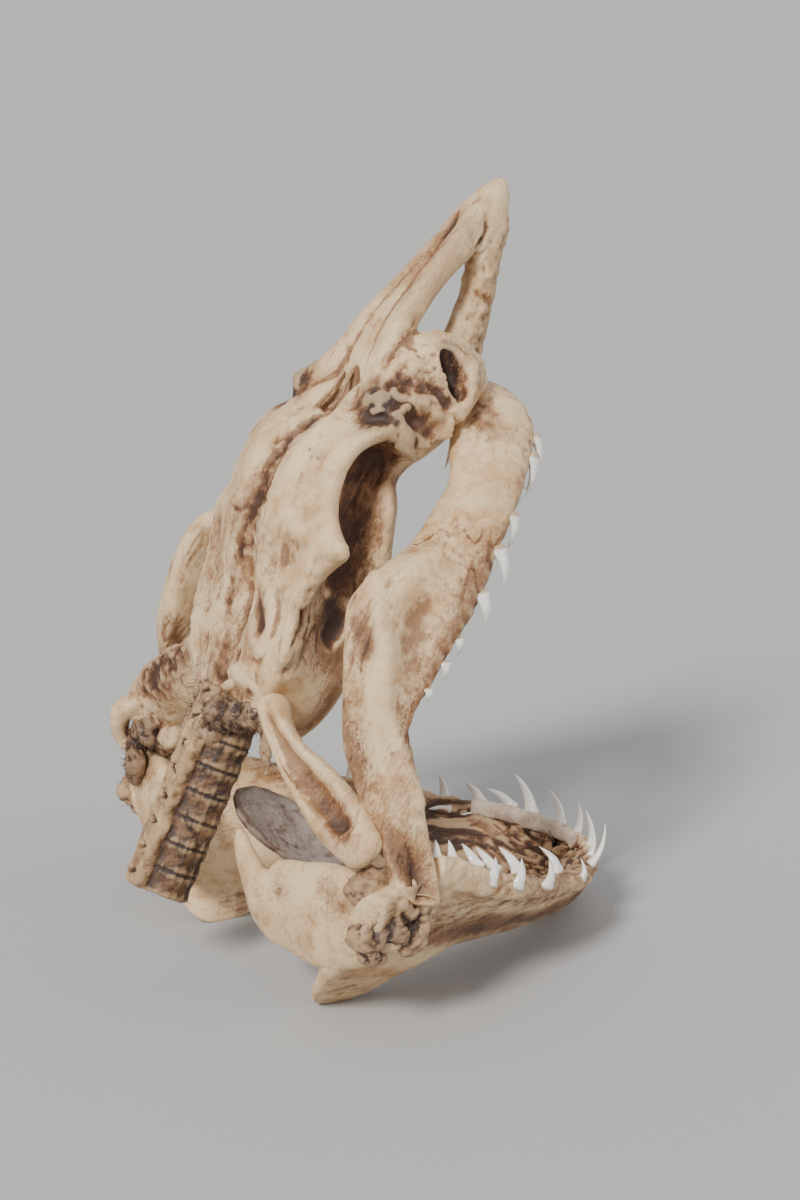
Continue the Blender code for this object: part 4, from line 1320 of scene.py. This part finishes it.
def make_gum():
    """The pale band of gum inside the front teeth of the lower jaw."""
    stations = []
    for side, fraction in GUM_PLACES:
        root = margin_point(LOWER_JAW, fraction)
        inward = unit((np.array(LOWER_MOUTH) - root) * (1, 1, 0))
        place = (root + inward * GUM_INSET) * (1, side, 1) + (0, 0, 1)
        stations.append((*place, *GUM_SECTION))
    return make_cord("gum_band", stations, level, 67, 1.8, 1.0)


def make_margin():
    """The ridge of gum that carries the teeth of the right lower jaw, and rises towards the hinge."""
    stations = []
    for fraction, rise in MARGIN_RISE:
        root = margin_point(LOWER_JAW, fraction) * (1, -1, 1)
        middle = root + (0, 0, rise / 2 - MARGIN_ROOT)
        stations.append((*middle, MARGIN_HALF_WIDTH, rise / 2 + MARGIN_ROOT))
    ridge = skin("jaw_margin_right", bar_grid(stations, 160, 60, roundness=0.8))
    return settled(weathered(ridge, (), 69, MARGIN_MARKS, 1.0, 0.9), level)


def make_pattern_tooth():
    """One tooth of unit height and width: a broad root and a slender crown that curves back."""
    # height, sideways, lean, half width
    levels = (
        (-0.16, 0, 0.00, 0.30),
        (-0.10, 0, 0.00, 0.44),
        (-0.02, 0, 0.00, 0.52),
        (0.05, 0, -0.02, 0.50),
        (0.13, 0, -0.05, 0.41),
        (0.25, 0, -0.08, 0.345),
        (0.40, 0, -0.06, 0.30),
        (0.58, 0, 0.05, 0.24),
        (0.76, 0, 0.24, 0.165),
        (0.90, 0, 0.44, 0.085),
        (1.00, 0, 0.60, 0.012),
    )
    sides = 14
    turns = even_turns(sides)
    rings = []
    for height, lean, half in smooth_rows(levels, 26)[:, (0, 2, 3)]:
        half = max(half, 0.01)
        wide = half * np.cos(turns)
        deep = half * np.where(np.sin(turns) > 0, 0.78, 0.50) * np.sin(turns)
        rings.append(np.stack([wide, deep + lean, np.full(sides, height)], axis=1))
    tooth = skin("pattern_tooth", rings, 0.1, 0.1)
    height = read_points(tooth)[:, 2]
    keep_values(tooth, "marks", np.stack([height, height * 0, height * 0], axis=1))
    return tooth


def make_pattern_shred():
    """One shred of unit length: a thin, bent, tapering fibre."""
    turns = even_turns(4)
    rings = []
    for height in np.linspace(0, 1, 6):
        half = 0.055 * (1.05 - height)
        bend = 0.35 * height * height
        ring = [half * np.cos(turns) + bend, half * np.sin(turns), height + 0 * turns - 0.1]
        rings.append(np.stack(ring, axis=1))
    shred = skin("pattern_shred", rings, 0.1, 0.1)
    count = len(shred.data.vertices)
    keep_values(shred, "marks", np.tile((0.9, 0.35, 0.0), (count, 1)))
    keep_values(shred, "lay", read_points(shred) * 8)
    return shred


def tooth_places(stations, teeth, place, hanging):
    """Where each tooth stands, how it is turned, and its width and height, in metres of the row frame."""
    upwards = CAMERA_UP * (-1 if hanging else 1)
    zero = place((0, 0, 0))
    spots, turns, sizes = [], [], []
    for side, fraction, right, rise, shift, height, width, lean in teeth:
        root = margin_point(stations, fraction)
        middle = np.array(UPPER_MOUTH if hanging else LOWER_MOUTH)
        inward = unit((middle - root) * (1, 1, 0))
        spot = place(root * (1, side, 1))
        inward = unit(place(inward * (1, side, 1)) - zero)
        up = unit(upwards + CAMERA_RIGHT * lean)
        back = unit(inward - up * (inward @ up))
        wide = unit(np.cross(back, up))
        spot = spot + CAMERA_RIGHT * right + CAMERA_UP * rise + inward * shift
        matrix = Matrix(np.stack([wide, back, up], axis=1).tolist())
        spots.append((spot - (MIDDLE_X, 0, 0)) * MM)
        turns.append(tuple(matrix.to_euler()))
        sizes.append((width * MM, width * MM, height * MM))
    return spots, turns, sizes


def make_teeth(name, pattern, stations, teeth, place, hanging, material):
    """A row of teeth, set out as copies of the pattern tooth."""
    spots, turns, sizes = tooth_places(stations, teeth, place, hanging)
    obj = new_object(name, spots, [])
    keep_values(obj, "turn", turns)
    keep_values(obj, "size", sizes)
    layout = Layout("set_out_" + name)
    points = layout.start("Points", "NodeSocketGeometry")
    layout.end(points, layout.stored("turn"), layout.stored("size"))
    return layout.run(obj, {"Pattern": pattern, "Finish": material})


def make_shreds(name, carrier, pattern, density, length, seed, material):
    """Fine dried fibres that stand on the shaggy parts of a piece."""
    obj = new_object(name, [], [])
    obj.data = carrier.data.copy()
    layout = Layout("scatter_" + name)
    surface = layout.start("Surface", "NodeSocketGeometry")
    amount = layout.start("Density", "NodeSocketFloat")
    reach = layout.start("Length", "NodeSocketFloat")
    dark = layout.add("ShaderNodeSeparateXYZ", {}, {0: layout.stored("marks")}, 1)
    spread = {"Mesh": surface, "Density": dark * amount, "Seed": seed}
    points = layout.add("GeometryNodeDistributePointsOnFaces", {}, spread)
    stand = Flow(layout, points.socket.node.outputs["Rotation"])
    limits = {0: (-1.2, -1.2, -3.1), 1: (1.2, 1.2, 3.1), "Seed": seed + 1}
    swing = layout.add("FunctionNodeRandomValue", {"data_type": "FLOAT_VECTOR"}, limits)
    turn = layout.add("FunctionNodeRotateRotation", {"rotation_space": "LOCAL"}, {0: stand, 1: swing})
    limits = {2: 0.4, 3: 1.2, "Seed": seed + 2}
    share = layout.add("FunctionNodeRandomValue", {"data_type": "FLOAT"}, limits, 1)
    layout.end(points, turn, share * reach)
    inputs = {"Pattern": pattern, "Finish": material, "Density": density, "Length": length * MM}
    return layout.run(obj, inputs)


def tooth_finish():
    finish = Finish("tooth_enamel")
    place = finish.add("ShaderNodeTexCoord", {}, {}, 3)
    share = finish.stored("marks")[1][0]
    cloud = finish.noise(place, 400.0)
    crown = (share + cloud * 0.10).over(-0.05, 0.07)
    colour = finish.blend(crown, TOOTH_ROOT, TOOTH_CROWN)
    finish.shader.inputs["Coat Weight"].default_value = 0.3
    return finish.dress(colour, 0.5 - crown * 0.3, cloud, 0.1, 0.1)


def make_floor():
    reach = FLOOR_REACH
    corners = [(-reach, -reach, 0), (reach, -reach, 0), (reach, reach, 0), (-reach, reach, 0)]
    floor = new_object("floor", corners, [(0, 1, 2, 3)])
    finish = Finish("pale_floor")
    finish.shader.inputs["Specular IOR Level"].default_value = 0.0
    floor.data.materials.append(finish.dress((FLOOR_TONE, FLOOR_TONE, FLOOR_TONE), 1.0))


def add_sun(name, come_from, strength, softness, colour):
    """Even soft light from one direction, which doesn't fade over the floor."""
    data = bpy.data.lights.new(name, "SUN")
    data.energy = strength
    data.angle = math.radians(softness)
    data.color = colour
    light = linked(name, data)
    light.rotation_euler = Vector(come_from).to_track_quat("Z", "Y").to_euler()


def make_studio():
    """A pale studio: soft light from the left, a weaker one from the right, and an even surround."""
    world = bpy.data.worlds.new("studio")
    world.use_nodes = True
    background = world.node_tree.nodes["Background"]
    background.inputs["Color"].default_value = SURROUND_TONE
    background.inputs["Strength"].default_value = SURROUND_STRENGTH
    bpy.context.scene.world = world
    for sun in SUNS:
        add_sun(*sun)


def make_camera():
    """The camera at the photograph's angle and distance."""
    turn = CAMERA_TURN
    level_share = math.cos(CAMERA_TILT)
    away = Vector((-math.sin(turn) * level_share, -math.cos(turn) * level_share, math.sin(CAMERA_TILT)))
    data = bpy.data.cameras.new("camera")
    data.sensor_fit = "VERTICAL"
    data.sensor_height = SENSOR_HEIGHT
    data.lens = LENS
    data.clip_start = 0.01
    camera = linked("camera", data)
    camera.location = Vector(CAMERA_AIM) + away * CAMERA_DISTANCE
    right = Vector((math.cos(turn), -math.sin(turn), 0))
    above = right.cross(-away)
    camera.rotation_euler = Matrix((right, above, away)).transposed().to_euler()
    bpy.context.scene.camera = camera


def add_bones(ivory, brown, grey, tissue):
    """The pieces that stand for the solids."""
    add_piece(make_skull(), ivory, "chondrocranium")
    add_piece(make_backbone(), brown, "vertebral_column")
    add_piece(make_hyoid_plate(), grey, "basihyal")
    add_piece(make_right_strut(), ivory, "hyomandibula_right")
    add_piece(make_left_strut(), ivory, "hyomandibula_left")
    for side, word in ((1, "left"), (-1, "right")):
        add_piece(make_upper_jaw(side, word), ivory, "palatoquadrate_" + word)
        add_piece(make_lower_jaw(side, word), ivory, "meckels_cartilage_" + word)
        add_piece(make_hyoid(side, word), ivory, "ceratohyal_" + word)
        add_piece(make_knot(side, word), tissue, "hinge_ligament_" + word)


def add_dried_tissue(ivory, tissue, pale):
    """Tissue and gum that have no solid of their own."""
    add_piece(make_tissue("neck_tissue", NECK_LUMPS, NECK_STRANDS, NECK_MARKS, 53), tissue)
    add_piece(make_tissue("left_joint_tissue", LEFT_TISSUE, (), JOINT_MARKS, 63), tissue)
    add_piece(make_cord("opening_rim", OPENING_RIM, level, 57), ivory)
    add_piece(make_gum(), pale)
    add_piece(make_margin(), ivory)
    for index, strand in enumerate(ROOF_STRANDS):
        add_piece(make_cord(f"roof_strand_{index}", strand, in_skull, 59 + index), tissue)


def add_shreds(tissue):
    shred = make_pattern_shred()
    for index, (name, density, length) in enumerate(SHREDS):
        carrier = bpy.data.objects[name]
        shreds = make_shreds(name + "_shreds", carrier, shred, density, length, 5 + index, tissue)
        add_piece(shreds, tissue)
    bpy.data.objects.remove(shred)


def add_teeth(enamel):
    pattern = make_pattern_tooth()
    upper = make_teeth("upper_teeth", pattern, UPPER_JAW, UPPER_TEETH, in_skull, True, enamel)
    lower = make_teeth("lower_teeth", pattern, LOWER_JAW, LOWER_TEETH, level, False, enamel)
    bpy.data.objects.remove(pattern)
    add_piece(upper, enamel)
    add_piece(lower, enamel)


def main():
    ivory, brown, grey, tissue, pale = [dried_cartilage(*row) for row in MATERIALS]
    enamel = tooth_finish()
    add_bones(ivory, brown, grey, tissue)
    add_dried_tissue(ivory, tissue, pale)
    add_shreds(tissue)
    add_teeth(enamel)
    make_floor()
    make_studio()
    make_camera()


main()
